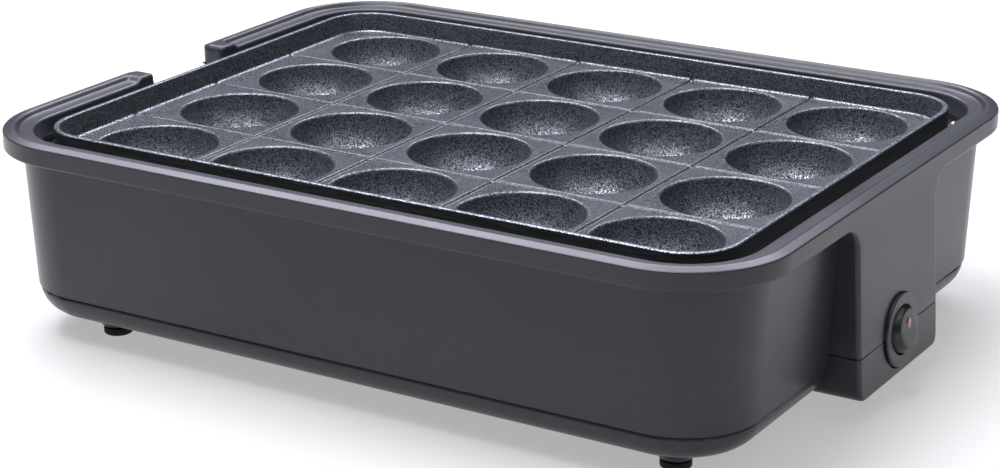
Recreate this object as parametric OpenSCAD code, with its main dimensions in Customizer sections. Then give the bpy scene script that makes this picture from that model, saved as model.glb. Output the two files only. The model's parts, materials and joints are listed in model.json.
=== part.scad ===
// Electric cooker for small round dumplings: a moulded housing with a wide rolled rim,
// a loose cast plate with a grid of half-round cups, and a tubular heater below it.
// Millimetres, +Z up, the long side along X. The origin is the middle of the
// outline's box, on the surface that the feet stand on.

/* [Rim] */
// Length over the rim, along X
rim_len = 290.2; // [284:0.1:310]
// Width over the rim, along Y
rim_wid = 226.2; // [222:0.1:245]
// Outer corner radius of the rim, in plan
rim_r = 35; // [33:0.5:40]
// Height of the rim's ridge above the table
rim_z = 73; // [72.6:0.1:80]
// Height of the skirt that hangs outside the rim
skirt_h = 7.1; // [6:0.1:9]
// Thickness of that skirt
skirt_t = 2; // [1.5:0.1:2.5]
// Width of the raised ridge
ridge_w = 4.8; // [4:0.1:5.4]
// Step from the ridge down to the inner ledge
ledge_drop = 1.6; // [1:0.1:1.8]
// Width of the whole rim, from its outer face to its inner edge
rim_w = 10.6; // [10.2:0.1:11]
// Thickness of the rim's top
rim_t = 3.4; // [3:0.1:3.8]
// Small edge break round the rim
rim_edge = 0.8; // [0.5:0.1:1]
// Depth of the rim's inner skirt below the ledge
inner_skirt_h = 6.5; // [5:0.1:7]

/* [Rim notch] */
// Front end of the gap in the left side of the rim
notch_y0 = -22; // [-30:0.5:-15]
// Back end of that gap
notch_y1 = 17.5; // [10:0.5:30]
// Length of the full-width block on each side of the gap
notch_block = 9; // [5:0.5:14]
// Height of the wall's top edge in that gap
notch_z = 63.4; // [63:0.1:65]

/* [Body] */
// How far the rim stands out over the body wall
overhang = 6.4; // [5.5:0.1:7]
// Wall thickness of the mouldings
wall_t = 2.5; // [2:0.1:2.8]
// Draft of the body wall, in degrees
draft = 2.7; // [2:0.1:3]
// Height of the seam between housing and base
seam_z = 17.3; // [16:0.1:18]
// Step inwards at the seam
seam_inset = 0.5; // [0.2:0.1:0.8]
// Height of the base's underside above the table
base_z = 7.4; // [6.6:0.1:8]
// Thickness of the base's tongue that locates it in the housing
tongue_t = 1.2; // [1:0.1:1.6]
// Height of that tongue above the seam
tongue_h = 4; // [2:0.5:5]
// Play between mouldings that locate each other
fit_gap = 0.25; // [0.2:0.05:0.35]

/* [Control box] */
// Half the width of the box on the right end
box_half = 31; // [28:0.5:34]
// Outward flare of its end face, in degrees
flare = 3.1; // [2:0.1:3.5]
// Rounding of its upright edges
box_edge = 1.6; // [1:0.1:4]
// Rounding of its two bottom corners
box_foot_r = 4.5; // [3:0.5:6]
// Radius of the arches from the rim's skirt into the box
arch_r = 8; // [5:0.5:9]
// Height of the parting line between housing and cover
part_z = 22.6; // [21.5:0.1:24]

/* [Cooking plate] */
// Columns of cups, along X
cup_cols = 5; // [4:1:5]
// Rows of cups, along Y
cup_rows = 4; // [3:1:4]
// Margin between the plate's end and the outer columns' cells
margin_x = 8.4; // [7.5:0.1:9.5]
// Margin between the plate's side and the outer rows' cells
margin_y = 3.2; // [2.8:0.1:4]
// Land between the spheres of two neighbouring cups
cup_land = 4.7; // [4.3:0.1:6]
// Height of that sphere's centre above the deck
cup_rise = 1.5; // [1:0.1:3]
// Thickness of the casting round a cup
cup_t = 2.8; // [2.4:0.1:3]
// Gap between the plate's ends and the rim's inner edge
plate_gap_x = 6.1; // [6:0.1:7.5]
// Gap between the plate's sides and the rim's inner edge
plate_gap_y = 6.7; // [6.2:0.1:7.5]
// Corner radius of the plate
plate_r = 18; // [15:0.5:20]
// Height of the plate's deck above the table
deck_z = 65; // [64.8:0.1:66]
// Thickness of the deck
deck_t = 3.2; // [2.8:0.1:3.6]
// Height of the wall round the deck
plate_wall_h = 7; // [5:0.1:8]
// Thickness of that wall at its top
plate_wall_t = 2.2; // [1.8:0.1:2.6]
// How much thicker it gets down to the deck
plate_wall_slope = 1.8; // [1:0.1:2.4]
// Width of the score lines between the cups
score_w = 1.2; // [0.8:0.1:1.6]
// Depth of the score lines
score_d = 0.8; // [0.5:0.1:1.2]
// Radius of the plate's four legs
leg_r = 4; // [3:0.5:5]
// How far the plate lifts in this model
lift_travel = 80; // [60:1:100]

/* [Reflector] */
// Sheet thickness of the reflector tray
sheet_t = 1; // [0.8:0.1:1.2]
// Height of the top of its flange
flange_z = 62.4; // [61.5:0.1:63]
// Height of the top of its floor
tray_z = 37; // [35.5:0.1:38]
// Width of its flange
flange_w = 6.4; // [6:0.1:6.6]
// How far its wall leans inwards from flange to floor
tray_lean = 5.2; // [4:0.1:6]

/* [Heater] */
// Distance of the tube's end runs from the rim's ends
tube_in = 28.1; // [27.5:0.1:29]
// Radius of the sheathed heater tube
tube_r = 3.3; // [3:0.1:3.5]
// Height of the tube's centre line
tube_z = 46.5; // [45.5:0.1:47]
// Bend radius of the tube at the plate's corners
tube_bend = 14; // [12:1:18]
// Bend radius of the tube where it turns out to the control box
tail_bend = 8; // [7:0.5:9]
// Distance of the two tube tails from the middle
tail_y = 12; // [11:0.5:14]
// Play between the tube and what holds it
tube_play = 0.1; // [0.05:0.01:0.2]

/* [Switch] */
// Outer radius of the round bezel
bezel_r = 12.3; // [11.5:0.1:12.5]
// Thickness of the bezel
bezel_t = 1.2; // [1:0.1:2]
// Radius of the switch barrel behind it
barrel_r = 10; // [9.8:0.1:10.4]
// Length of the barrel behind the panel
barrel_l = 19; // [16:0.5:22]
// Radius of the ball that the rocker is cut from
rocker_r = 8; // [7.8:0.1:8.5]
// Play between the rocker and its cavity
rocker_gap = 0.3; // [0.25:0.05:0.4]
// Depth of the rocker's pivot behind the bezel's face
pivot_depth = 2; // [1.8:0.1:3]
// Distance of the rocker's face from its pivot
rocker_face = 4.4; // [4:0.1:5]
// Tilt of the rocker at rest, in degrees
rocker_tilt = 9; // [7:1:12]
// Radius of the rocker's pivot pins
pivot_r = 1.2; // [1:0.1:1.5]
// Radial play of the pivot pins
pivot_play = 0.05; // [0.03:0.01:0.08]
// Radius of the lamp window in the rocker
lens_r = 2; // [1.5:0.1:2.4]
// Height of that window above the middle of the rocker
lens_up = 2; // [0:0.1:2.2]

/* [Feet] */
// Distance of the two left feet in from the rim's left face
foot_in_left = 40.6; // [37.1:0.5:43.1]
// Distance of the two right feet in from the rim's right face
foot_in_right = 33.1; // [32.1:0.5:37.1]
// Distance of the feet in from the rim's front and back faces
foot_in_y = 28.1; // [27.1:0.5:31.1]
// Radius of the moulded boss above a foot
foot_boss_r = 7; // [6:0.5:8]
// Radius of the rubber foot
foot_r = 5; // [4:0.5:6]
// Height of the rubber pad
foot_pad = 2.6; // [2:0.1:3]
// Height of the narrow neck above the pad
foot_neck = 0.8; // [0.5:0.1:1]

/* [Fasteners] */
// Radius of a screw's shank
screw_r = 1.35; // [1.2:0.05:1.5]
// Radius of a screw's head
head_r = 2.5; // [2.3:0.1:2.7]
// Height of a screw's head
head_h = 1.8; // [1.4:0.1:2]
// Radial play round a screw in its hole
screw_play = 0.15; // [0.1:0.05:0.25]
// Length of the screws that join base, housing and cover
screw_long = 16; // [12:1:17]
// Length of the tray's screws
screw_mid = 10; // [8:1:13]
// Length of the heater brackets' screws
screw_short = 5; // [4:0.5:6]

/* [Power lead entry] */
// Radius of the gland's bore for the lead
gland_r = 2.5; // [2.2:0.1:2.6]
// Wall of the gland
gland_t = 0.8; // [0.7:0.1:0.9]
// How far the gland's collars stand out over its sleeve
gland_lip = 0.4; // [0.3:0.1:0.5]

/* [Hidden] */
$fn = 64;

// Rim and body, worked out. "in" is a distance inwards from the rim's outer face.
rim_a = rim_len / 2;
rim_b = rim_wid / 2;
mid_x = rim_a - rim_r;
mid_y = rim_b - rim_r;
skirt_z = rim_z - skirt_h;
web_z = rim_z - rim_t;
ledge_z = rim_z - ledge_drop;
inner_z = ledge_z - inner_skirt_h;
base_r = seam_z - base_z;
seam_in = body_in(seam_z) + seam_inset;
base_floor = base_z + wall_t;
function body_in(z) = overhang + (skirt_z - z) * tan(draft);
function wall_in(z) = body_in(z) + wall_t;

// Control box and switch
function face_x(z) = rim_a + (skirt_z - z) * tan(flare);
window_half = box_half - 4;
window_z = 56;
box_run = 60;
box_drop = skirt_z + 15;
box_start = rim_a - body_in(part_z) - 0.35;
switch_z = part_z;
pivot_x = face_x(switch_z) + (bezel_t - pivot_depth) * cos(flare);
pivot_z = switch_z + (bezel_t - pivot_depth) * sin(flare);
cavity_r = rocker_r + rocker_gap;
face_r = sqrt(pow(rocker_r, 2) - pow(rocker_face, 2));
// The rocker's lower edge is the part that reaches furthest along X
rocker_reach = rocker_face * cos(rocker_tilt + flare) + face_r * sin(rocker_tilt + flare);
reach_x = pivot_x + rocker_reach;
shift_x = -(reach_x - rim_a) / 2;

// Cooking plate
plate_a = rim_a - rim_w - plate_gap_x;
plate_b = rim_b - rim_w - plate_gap_y;
pitch_x = 2 * (plate_a - margin_x) / cup_cols;
pitch_y = 2 * (plate_b - margin_y) / cup_rows;
cup_r = (min(pitch_x, pitch_y) - cup_land) / 2;
cup_z = deck_z + cup_rise;
shell_r = cup_r + cup_t;
plate_under = deck_z - deck_t;
wall_base = plate_wall_t + plate_wall_slope;
leg_x = 1.5 * pitch_x;
leg_y = plate_b - wall_base - leg_r - 1.8;

// Reflector
flange_in = wall_in(flange_z - sheet_t) + fit_gap + 0.1;
tray_in = flange_in + flange_w;
tray_foot_in = tray_in + tray_lean;
tray_boss_r = screw_r + screw_play + 1.3;
tray_boss_in = flange_in + tray_boss_r - 0.25;
function tray_wall_in(z) = tray_in + (flange_z - z) / (flange_z - tray_z) * tray_lean;

// Heater
tube_x = rim_a - tube_in;
tube_y = pitch_y;
tail_x0 = tube_x + tail_bend;
tail_x1 = tail_x0 + 9;
pin_r = 1.2;
pin_l = 7;
bush_r = tube_r + 1.3;
bush_flange_x = rim_a - tray_wall_in(tube_z + bush_r) + sheet_t + 1.2;
bracket_x = tube_x - 57;
ring_r = tube_r + tube_play + 1.1;
bracket_foot = 14;

// Fixing points
screw_x = mid_x - 22.1;
screw_y = mid_y + 9.9;
column_r = 4;
column_z = base_floor + 4.7;
seat_z = base_floor + 2.1;
column_top = tray_z - sheet_t - 3;
cover_screw_x = face_x(part_z) - wall_t - 3.9;
cover_screw_y = 20;
pillar_r = 3.5;
cover_seat_z = base_z + 8;
tap_r = screw_r + 0.05;
hole_r = screw_r + screw_play;
foot_left = rim_a - foot_in_left;
foot_right = rim_a - foot_in_right;
foot_y = rim_b - foot_in_y;
foot_top = foot_pad + foot_neck;
foot_stem_r = 2.3;
foot_play = 0.1;

// Control parts under the tray
tray_under = tray_z - sheet_t;
stat_x = rim_a - 97.1;
stat_r = 8.5;
stat_h = 8;
stat_ear = 13;
blade_w = 4.8;
blade_t = 0.8;
blade_l = 7;
fuse_x = rim_a - 69.1;
fuse_y = -24;
fuse_r = 2;
fuse_l = 14;
fuse_z = tray_under - 3.2;
block_x = rim_a - 49.1;
block_y = 40;
block_len = 30;
block_wid = 16;
block_h = 13;
gland_out = gland_r + gland_t + gland_lip;
gland_z = 15.8;
gland_x = rim_a - body_in(gland_z + gland_out) + fit_gap + gland_out;
lead_r = 1.2;
blade_x = face_x(switch_z) - barrel_l - blade_l;

CASE = [0.30, 0.305, 0.32];
PLATE = [0.22, 0.25, 0.28];
BRIGHT = [0.80, 0.81, 0.83];
STEEL = [0.62, 0.63, 0.65];
BLACK = [0.09, 0.09, 0.10];
CERAMIC = [0.93, 0.92, 0.88];

// ---------- shared shapes ----------

// Puts a piece that is drawn about the rim's middle into the part's frame
module framed() {
    translate([shift_x, 0, 0]) children();
}

// A straight stretch of a profile (x outwards, y up), centred on its length along Y
module run(length) {
    translate([0, length / 2, 0])
        rotate([90, 0, 0])
            linear_extrude(height = length) children();
}

// A profile carried round a rounded rectangle whose corner centres are at (+-cx, +-cy)
module around(cx, cy) {
    for (turn = [0, 180]) rotate([0, 0, turn]) {
        translate([cx, 0, 0]) run(2 * cy) children();
        rotate([0, 0, 90]) translate([cy, 0, 0]) run(2 * cx) children();
        translate([cx, cy, 0]) rotate_extrude(angle = 90) children();
        translate([-cx, cy, 0]) rotate([0, 0, 90]) rotate_extrude(angle = 90) children();
    }
}

// A flat slab with round corners: half sizes a and b, from z0 to z1
module slab(a, b, r, z0, z1) {
    translate([0, 0, z0]) linear_extrude(height = z1 - z0) {
        square([2 * a, 2 * (b - r)], center = true);
        square([2 * (a - r), 2 * b], center = true);
        for (x = [-1, 1], y = [-1, 1]) translate([x * (a - r), y * (b - r)]) circle(r);
    }
}

module post(r, z0, z1) {
    translate([0, 0, z0]) cylinder(r = r, h = z1 - z0);
}

// A box given by its lowest and highest corners
module block(low, high) {
    translate(low) cube(high - low);
}

module four(x, y) {
    for (i = [-1, 1], j = [-1, 1]) translate([i * x, j * y, 0]) children();
}

module screw_points() {
    for (x = [-screw_x, 0, screw_x], y = [-screw_y, screw_y]) translate([x, y, 0]) children();
}

module cover_points() {
    for (y = [-cover_screw_y, cover_screw_y]) translate([cover_screw_x, y, 0]) children();
}

// The tray's four screws stand on the diagonals of the rim's corners
module tray_points() {
    reach = (rim_r - tray_boss_in) * cos(45);
    four(mid_x + reach, mid_y + reach) children();
}

module foot_points() {
    for (x = [-foot_left, foot_right], y = [-foot_y, foot_y]) translate([x, y, 0]) children();
}

module bracket_points() {
    for (x = [-bracket_x, bracket_x], y = [-tube_y, tube_y]) translate([x, y, 0]) children();
}

// A pan-head screw, head down or up, with its head's seat at z = 0
module screw(length) {
    post(head_r, -head_h, 0);
    post(screw_r, -0.1, length);
}

// The switch's own frame: X out of the panel, origin on the panel's face
module at_switch() {
    translate([face_x(switch_z), 0, switch_z]) rotate([0, -flare, 0]) children();
}

module along_x(r, x0, x1) {
    translate([x0, 0, 0]) rotate([0, 90, 0]) cylinder(r = r, h = x1 - x0);
}

// Cosine of half the turn from one straight stretch to the next
function half_turn(a, b) = sqrt((1 + a * b / (norm(a) * norm(b))) / 2);

// An insulated lead along a list of points, each bend covered by a ball
module lead(points) {
    for (k = [0 : len(points) - 2]) {
        step = points[k + 1] - points[k];
        length = norm(step);
        translate(points[k]) rotate([0, acos(step[2] / length), atan2(step[1], step[0])]) {
            cylinder(r = lead_r, h = length);
            if (k > 0) sphere(r = lead_r / half_turn(points[k] - points[k - 1], step) + 0.12);
        }
    }
}

// ---------- housing ----------

function housing_profile() = [for (p = [
    [0, skirt_z],
    [0, rim_z - rim_edge],
    [rim_edge, rim_z],
    [ridge_w - rim_edge, rim_z],
    [ridge_w + rim_edge, ledge_z],
    [rim_w - rim_edge, ledge_z],
    [rim_w, ledge_z - rim_edge],
    [rim_w, inner_z],
    [wall_in(inner_z), inner_z],
    [wall_in(seam_z), seam_z],
    [body_in(seam_z), seam_z],
    [body_in(web_z), web_z],
    [skirt_t, web_z],
    [skirt_t, skirt_z]
]) [rim_r - p[0], p[1]]];

// The rim's section where it ends at the notch: full height over its whole width
function tip_profile() = [for (p = [
    [0, skirt_z],
    [0, rim_z - rim_edge],
    [rim_edge, rim_z],
    [rim_w - rim_edge, rim_z],
    [rim_w, rim_z - rim_edge],
    [rim_w, skirt_z]
]) [rim_r - p[0], p[1]]];

// The control box's plan, drawn in from its outer faces
module box_plan(inset) {
    r = max(box_edge - inset * 0.8, 0.5);
    half = box_half - inset;
    translate([-box_run - inset, -half]) square([box_run - r, 2 * half]);
    translate([-box_run - inset, -half + r]) square([box_run, 2 * half - 2 * r]);
    for (s = [-1, 1]) translate([-inset - r, s * (half - r)]) circle(r);
}

// The box between two heights, its end face leaning out by the flare
module box_solid(inset, z0, z1) {
    intersection() {
        translate([rim_a, 0, skirt_z]) rotate([0, -flare, 0])
            translate([0, 0, -box_drop]) linear_extrude(height = box_drop + 20) box_plan(inset);
        block([box_start, -box_half - 1, z0], [rim_a + 10, box_half + 1, z1]);
    }
}

// Fills the corner between the skirt's lower edge, the box's side and the body's wall
module arch(side) {
    depth = body_in(skirt_z - arch_r) + 0.5;
    scale([1, side, 1])
        translate([rim_a - depth, box_half - 0.5, skirt_z - arch_r])
            rotate([90, 0, 90]) linear_extrude(height = depth) difference() {
                square([arch_r + 0.5, arch_r + 0.3]);
                translate([arch_r + 0.5, 0]) circle(arch_r);
            }
}

module housing_columns() {
    screw_points() post(column_r, column_z, column_top);
    for (x = [-screw_x, 0, screw_x], s = [-1, 1])
        block([x - 1, min(s * screw_y, s * (rim_b - body_in(24) - 1)), 24],
              [x + 1, max(s * screw_y, s * (rim_b - body_in(24) - 1)), column_top]);
    tray_points() post(tray_boss_r, flange_z - 16, flange_z - sheet_t);
}

// Short ribs on the wall that carry the tray's flange between its screws
module flange_ribs() {
    depth = flange_in + 2.4;
    top = flange_z - sheet_t;
    rib_x = mid_x - 50.1;
    rib_y = mid_y - 33.1;
    for (x = [-rib_x, 0, rib_x], s = [-1, 1])
        block([x - 2, min(s * (rim_b - depth), s * (rim_b - body_in(top) - 1)), top - 12],
              [x + 2, max(s * (rim_b - depth), s * (rim_b - body_in(top) - 1)), top]);
    for (y = [-rib_y, rib_y], s = [-1, 1])
        block([min(s * (rim_a - depth), s * (rim_a - body_in(top) - 1)), y - 2, top - 12],
              [max(s * (rim_a - depth), s * (rim_a - body_in(top) - 1)), y + 2, top]);
}

module housing() {
    color(CASE) framed() difference() {
        union() {
            difference() {
                around(mid_x, mid_y) polygon(housing_profile());
                block([-rim_a - 1, notch_y0, notch_z], [-rim_a + rim_w + 1, notch_y1, rim_z + 1]);
                // Opens the wall behind the control box
                block([rim_a - 20, -window_half, seam_z - 1], [box_start + 5, window_half, window_z]);
            }
            for (y = [notch_y0 - notch_block, notch_y1])
                translate([-mid_x, y + notch_block / 2, 0]) mirror([1, 0, 0])
                    run(notch_block) polygon(tip_profile());
            difference() {
                box_solid(0, part_z, web_z + 0.3);
                box_solid(wall_t, part_z - 1, skirt_z + 0.6);
                block([box_start - 1, -window_half, part_z - 1], [box_start + 5, window_half, window_z]);
            }
            for (s = [-1, 1]) arch(s);
            cover_points() post(pillar_r, part_z, part_z + 14);
            housing_columns();
            flange_ribs();
        }
        screw_points() post(tap_r, column_z - 1, column_top - 3);
        cover_points() post(tap_r, part_z - 1, part_z + 11);
        tray_points() post(tap_r, flange_z - 14, flange_z);
        at_switch() along_x(barrel_r + fit_gap, -12, 5);
    }
}

// ---------- base and cover ----------

// Quarter-round bottom edge, at a given depth under the outer skin
function base_arc(depth) = [for (a = [0 : 15 : 90])
    [seam_in + base_r - (base_r - depth) * cos(a), seam_z - (base_r - depth) * sin(a)]];

function base_profile() = [for (p = concat(
    base_arc(0),
    [[rim_r, base_z], [rim_r, base_floor]],
    [for (a = [90 : -15 : 15])
        [seam_in + base_r - (base_r - wall_t) * cos(a), seam_z - (base_r - wall_t) * sin(a)]],
    [
        [wall_in(seam_z) + fit_gap + tongue_t, seam_z - 1],
        [wall_in(seam_z) + fit_gap + tongue_t, seam_z + tongue_h],
        [wall_in(seam_z) + fit_gap, seam_z + tongue_h],
        [wall_in(seam_z) + fit_gap, seam_z]
    ])) [rim_r - p[0], p[1]]];

// Air slots in the base's floor, in three banks
module base_vents() {
    for (x = [-66, -22, 22], y = [-24 : 8 : 24])
        translate([x, y, 0]) slab(12, 1.5, 1.4, base_z - 1, base_floor + 1);
}

module foot_boss() {
    post(foot_boss_r, foot_top + 2.2, base_z + 0.5);
    translate([0, 0, foot_top]) cylinder(r1 = foot_boss_r - 1.6, r2 = foot_boss_r, h = 2.2);
}

module base_pan() {
    color(CASE) framed() difference() {
        union() {
            around(mid_x, mid_y) polygon(base_profile());
            block([-mid_x, -mid_y, base_z], [mid_x, mid_y, base_floor]);
            screw_points() post(column_r + 1.2, base_z + 0.5, column_z - fit_gap);
            foot_points() foot_boss();
            block([block_x - block_len / 2, block_y - block_wid / 2, base_floor - 0.5],
                  [block_x + block_len / 2, block_y + block_wid / 2, base_floor + 2]);
        }
        screw_points() {
            post(head_r + 0.6, base_z - 1, seat_z);
            post(hole_r, base_z, column_z + 1);
        }
        foot_points() post(foot_stem_r + foot_play, foot_top - 1, base_floor + 1);
        base_vents();
        // Room for the switch barrel, and no tongue across the control box
        block([rim_a - 30, -barrel_r - 1.2, base_floor + 1], [rim_a, barrel_r + 1.2, seam_z + tongue_h + 1]);
        block([rim_a - 30, -window_half - 2, seam_z], [rim_a, window_half + 2, seam_z + tongue_h + 1]);
        for (dx = [-10, 10]) translate([block_x + dx, block_y, 0]) post(1, base_floor + 0.5, base_floor + 3);
    }
}

// The body's outer skin near the control box, grown by the fit gap
module body_skin_cut() {
    skin = [for (p = concat(
        [[rim_r, base_z - 2], [seam_in + base_r, base_z - 2]],
        [for (a = [90 : -15 : 0])
            [seam_in + base_r - (base_r + fit_gap) * cos(a), seam_z - (base_r + fit_gap) * sin(a)]],
        [[body_in(seam_z) - fit_gap, seam_z], [body_in(part_z + 1) - fit_gap, part_z + 1], [rim_r, part_z + 1]]
    )) [rim_r - p[0], p[1]]];
    translate([mid_x, 0, 0]) run(2 * box_half + 10) polygon(skin);
}

module cover_shape(inset, z0, z1) {
    half = box_half - inset;
    r = max(box_foot_r - inset, 1);
    intersection() {
        translate([rim_a, 0, skirt_z]) rotate([0, -flare, 0])
            translate([0, 0, -box_drop]) linear_extrude(height = box_drop + 20) box_plan(inset);
        translate([rim_a - 25, 0, 0]) rotate([90, 0, 90]) linear_extrude(height = 40) {
            translate([-half, z0 + r]) square([2 * half, z1 - z0 - r]);
            translate([-half + r, z0]) square([2 * half - 2 * r, z1 - z0]);
            for (s = [-1, 1]) translate([s * (half - r), z0 + r]) circle(r);
        }
    }
}

module control_cover() {
    color(CASE) framed() difference() {
        union() {
            difference() {
                cover_shape(0, base_z, part_z - fit_gap);
                cover_shape(wall_t, base_floor, part_z + 1);
            }
            intersection() {
                cover_points() post(pillar_r, base_z, part_z - fit_gap);
                cover_shape(0.1, base_z, part_z - fit_gap);
            }
        }
        body_skin_cut();
        cover_points() {
            post(head_r + 0.3, base_z - 1, cover_seat_z);
            post(hole_r, base_z, part_z + 1);
        }
        at_switch() along_x(barrel_r + fit_gap, -16, 5);
        translate([gland_x, box_half + 1, gland_z]) rotate([90, 0, 0])
            cylinder(r = gland_r + gland_t, h = 2 * wall_t);
    }
}

// ---------- cooking plate ----------

module each_cup() {
    for (c = [0 : cup_cols - 1], r = [0 : cup_rows - 1])
        translate([(c - (cup_cols - 1) / 2) * pitch_x, (r - (cup_rows - 1) / 2) * pitch_y, 0])
            children();
}

function plate_profile() = [for (p = [
    [0.6, plate_under],
    [0, plate_under + 0.6],
    [0, deck_z + plate_wall_h - 0.5],
    [0.5, deck_z + plate_wall_h],
    [plate_wall_t - 0.4, deck_z + plate_wall_h],
    [plate_wall_t, deck_z + plate_wall_h - 0.4],
    [wall_base - 0.6, deck_z + 1.6],
    [wall_base + 0.3, deck_z + 0.4],
    [wall_base + 1.4, deck_z],
    [plate_r, deck_z],
    [plate_r, plate_under]
]) [plate_r - p[0], p[1]]];

module score_lines() {
    low = deck_z - score_d;
    reach_a = plate_a - wall_base;
    reach_b = plate_b - wall_base;
    for (c = [1 : cup_cols - 1]) {
        x = (c - cup_cols / 2) * pitch_x;
        block([x - score_w / 2, -reach_b, low], [x + score_w / 2, reach_b, deck_z + 1.6]);
    }
    for (r = [1 : cup_rows - 1]) {
        y = (r - cup_rows / 2) * pitch_y;
        block([-reach_a, y - score_w / 2, low], [reach_a, y + score_w / 2, deck_z + 1.6]);
    }
}

module cooking_plate() {
    color(PLATE) framed() difference() {
        union() {
            around(plate_a - plate_r, plate_b - plate_r) polygon(plate_profile());
            block([plate_r - plate_a, plate_r - plate_b, plate_under],
                  [plate_a - plate_r, plate_b - plate_r, deck_z]);
            intersection() {
                each_cup() translate([0, 0, cup_z]) sphere(r = shell_r);
                block([-plate_a, -plate_b, cup_z - shell_r - 1], [plate_a, plate_b, plate_under + 1]);
            }
            four(leg_x, leg_y) post(leg_r, tray_z, plate_under + 1);
        }
        each_cup() translate([0, 0, cup_z]) sphere(r = cup_r);
        score_lines();
    }
}

// ---------- reflector and heater ----------

function tray_profile() = [for (p = [
    [flange_in, flange_z],
    [tray_in, flange_z],
    [tray_foot_in, tray_z],
    [rim_r, tray_z],
    [rim_r, tray_under],
    [tray_foot_in - sheet_t, tray_under],
    [tray_in - sheet_t, flange_z - sheet_t],
    [flange_in, flange_z - sheet_t]
]) [rim_r - p[0], p[1]]];

module heat_reflector() {
    color(BRIGHT) framed() difference() {
        union() {
            around(mid_x, mid_y) polygon(tray_profile());
            block([-mid_x, -mid_y, tray_under], [mid_x, mid_y, tray_z]);
        }
        tray_points() post(hole_r, flange_z - 3, flange_z + 1);
        for (y = [-tail_y, tail_y])
            translate([0, y, tube_z]) along_x(bush_r + tube_play, tail_x0 - 4, tail_x1);
        bracket_points() translate([bracket_foot / 2 - 3, 0, 0]) post(hole_r, tray_under - 1, tray_z + 1);
        for (s = [-1, 1]) translate([stat_x, s * stat_ear, 0]) post(hole_r, tray_under - 1, tray_z + 1);
        translate([fuse_x + fuse_l / 2 + 3, fuse_y, 0]) post(hole_r, tray_under - 1, tray_z + 1);
    }
}

// A quarter bend of the tube in plan, its centre at a point
module tube_corner(centre, bend, angle) {
    translate([centre[0], centre[1], tube_z]) rotate([0, 0, angle])
        rotate_extrude(angle = 90) translate([bend, 0]) circle(tube_r);
}

module tube_line(from, to) {
    step = to - from;
    translate([from[0], from[1], tube_z]) rotate([0, 90, atan2(step[1], step[0])])
        cylinder(r = tube_r, h = norm(step));
}

module heating_element() {
    inner_x = tube_x - tube_bend;
    inner_y = tube_y - tube_bend;
    color(STEEL) framed() {
        tube_line([-tube_x, -inner_y], [-tube_x, inner_y]);
        for (s = [-1, 1]) {
            tube_line([-inner_x, s * tube_y], [inner_x, s * tube_y]);
            tube_line([tube_x, s * inner_y], [tube_x, s * (tail_y + tail_bend)]);
            tube_line([tail_x0, s * tail_y], [tail_x1, s * tail_y]);
        }
        tube_corner([inner_x, inner_y], tube_bend, 0);
        tube_corner([-inner_x, inner_y], tube_bend, 90);
        tube_corner([-inner_x, -inner_y], tube_bend, 180);
        tube_corner([inner_x, -inner_y], tube_bend, 270);
        tube_corner([tail_x0, tail_y + tail_bend], tail_bend, 180);
        tube_corner([tail_x0, -tail_y - tail_bend], tail_bend, 90);
    }
}

module element_pins() {
    color(STEEL) framed() for (y = [-tail_y, tail_y])
        translate([0, y, tube_z]) along_x(pin_r, tail_x1, tail_x1 + pin_l);
}

module element_bushes() {
    color(CERAMIC) framed() for (y = [-tail_y, tail_y]) translate([0, y, tube_z]) difference() {
        union() {
            along_x(bush_r, tail_x0 + 0.2, bush_flange_x + 2);
            along_x(bush_r + 1.8, bush_flange_x, bush_flange_x + 2);
        }
        along_x(tube_r + tube_play / 2, tail_x0 - 1, bush_flange_x + 3);
    }
}

module element_brackets() {
    color(STEEL) framed() bracket_points() difference() {
        union() {
            block([-3, -4, tray_z], [bracket_foot - 3, 4, tray_z + 1]);
            block([-0.6, -3, tray_z], [0.6, 3, tube_z]);
            translate([0, 0, tube_z]) along_x(ring_r, -2, 2);
        }
        translate([0, 0, tube_z]) along_x(tube_r + tube_play, -3, 3);
        translate([bracket_foot / 2 - 3, 0, 0]) post(hole_r, tray_z - 1, tray_z + 3);
    }
}

module bracket_screws() {
    color(STEEL) framed() bracket_points()
        translate([bracket_foot / 2 - 3, 0, tray_z + 1]) mirror([0, 0, 1]) screw(screw_short);
}

// ---------- control parts ----------

module thermostat() {
    color(BLACK) framed() translate([stat_x, 0, 0]) {
        post(stat_r, tray_under - stat_h, tray_under);
        difference() {
            slab(5, stat_ear + 4, 3, tray_under - 1, tray_under);
            for (s = [-1, 1]) translate([0, s * stat_ear, 0]) post(hole_r, 0, tray_z);
        }
        for (s = [-1, 1])
            block([s * 5 - blade_t / 2, -blade_w / 2, tray_under - stat_h - blade_l],
                  [s * 5 + blade_t / 2, blade_w / 2, tray_under - stat_h]);
    }
}

module thermostat_rivets() {
    color(STEEL) framed() for (s = [-1, 1]) translate([stat_x, s * stat_ear, 0]) {
        post(screw_r, tray_under - 1 - 0.8, tray_z + 0.8);
        post(head_r, tray_z, tray_z + 0.8);
        post(head_r, tray_under - 1.8, tray_under - 1);
    }
}

module thermal_fuse() {
    color(BRIGHT) framed() translate([fuse_x, fuse_y, fuse_z]) {
        along_x(fuse_r, -fuse_l / 2, fuse_l / 2 - 3);
        along_x(0.6, -fuse_l / 2 - 5, -fuse_l / 2 + 1);
        along_x(0.6, fuse_l / 2 - 4, fuse_l / 2 + 2);
    }
}

module fuse_clip() {
    clip_x = fuse_x + fuse_l / 2 + 3;
    color(STEEL) framed() difference() {
        union() {
            block([clip_x - 13, fuse_y - 3, tray_under - 0.8], [clip_x + 4, fuse_y + 3, tray_under]);
            translate([0, fuse_y, fuse_z]) along_x(fuse_r + 0.9, clip_x - 13, clip_x - 7);
        }
        translate([0, fuse_y, fuse_z]) along_x(fuse_r + 0.05, clip_x - 14, clip_x - 6);
        translate([clip_x, fuse_y, 0]) post(hole_r, 0, tray_z);
    }
}

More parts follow.
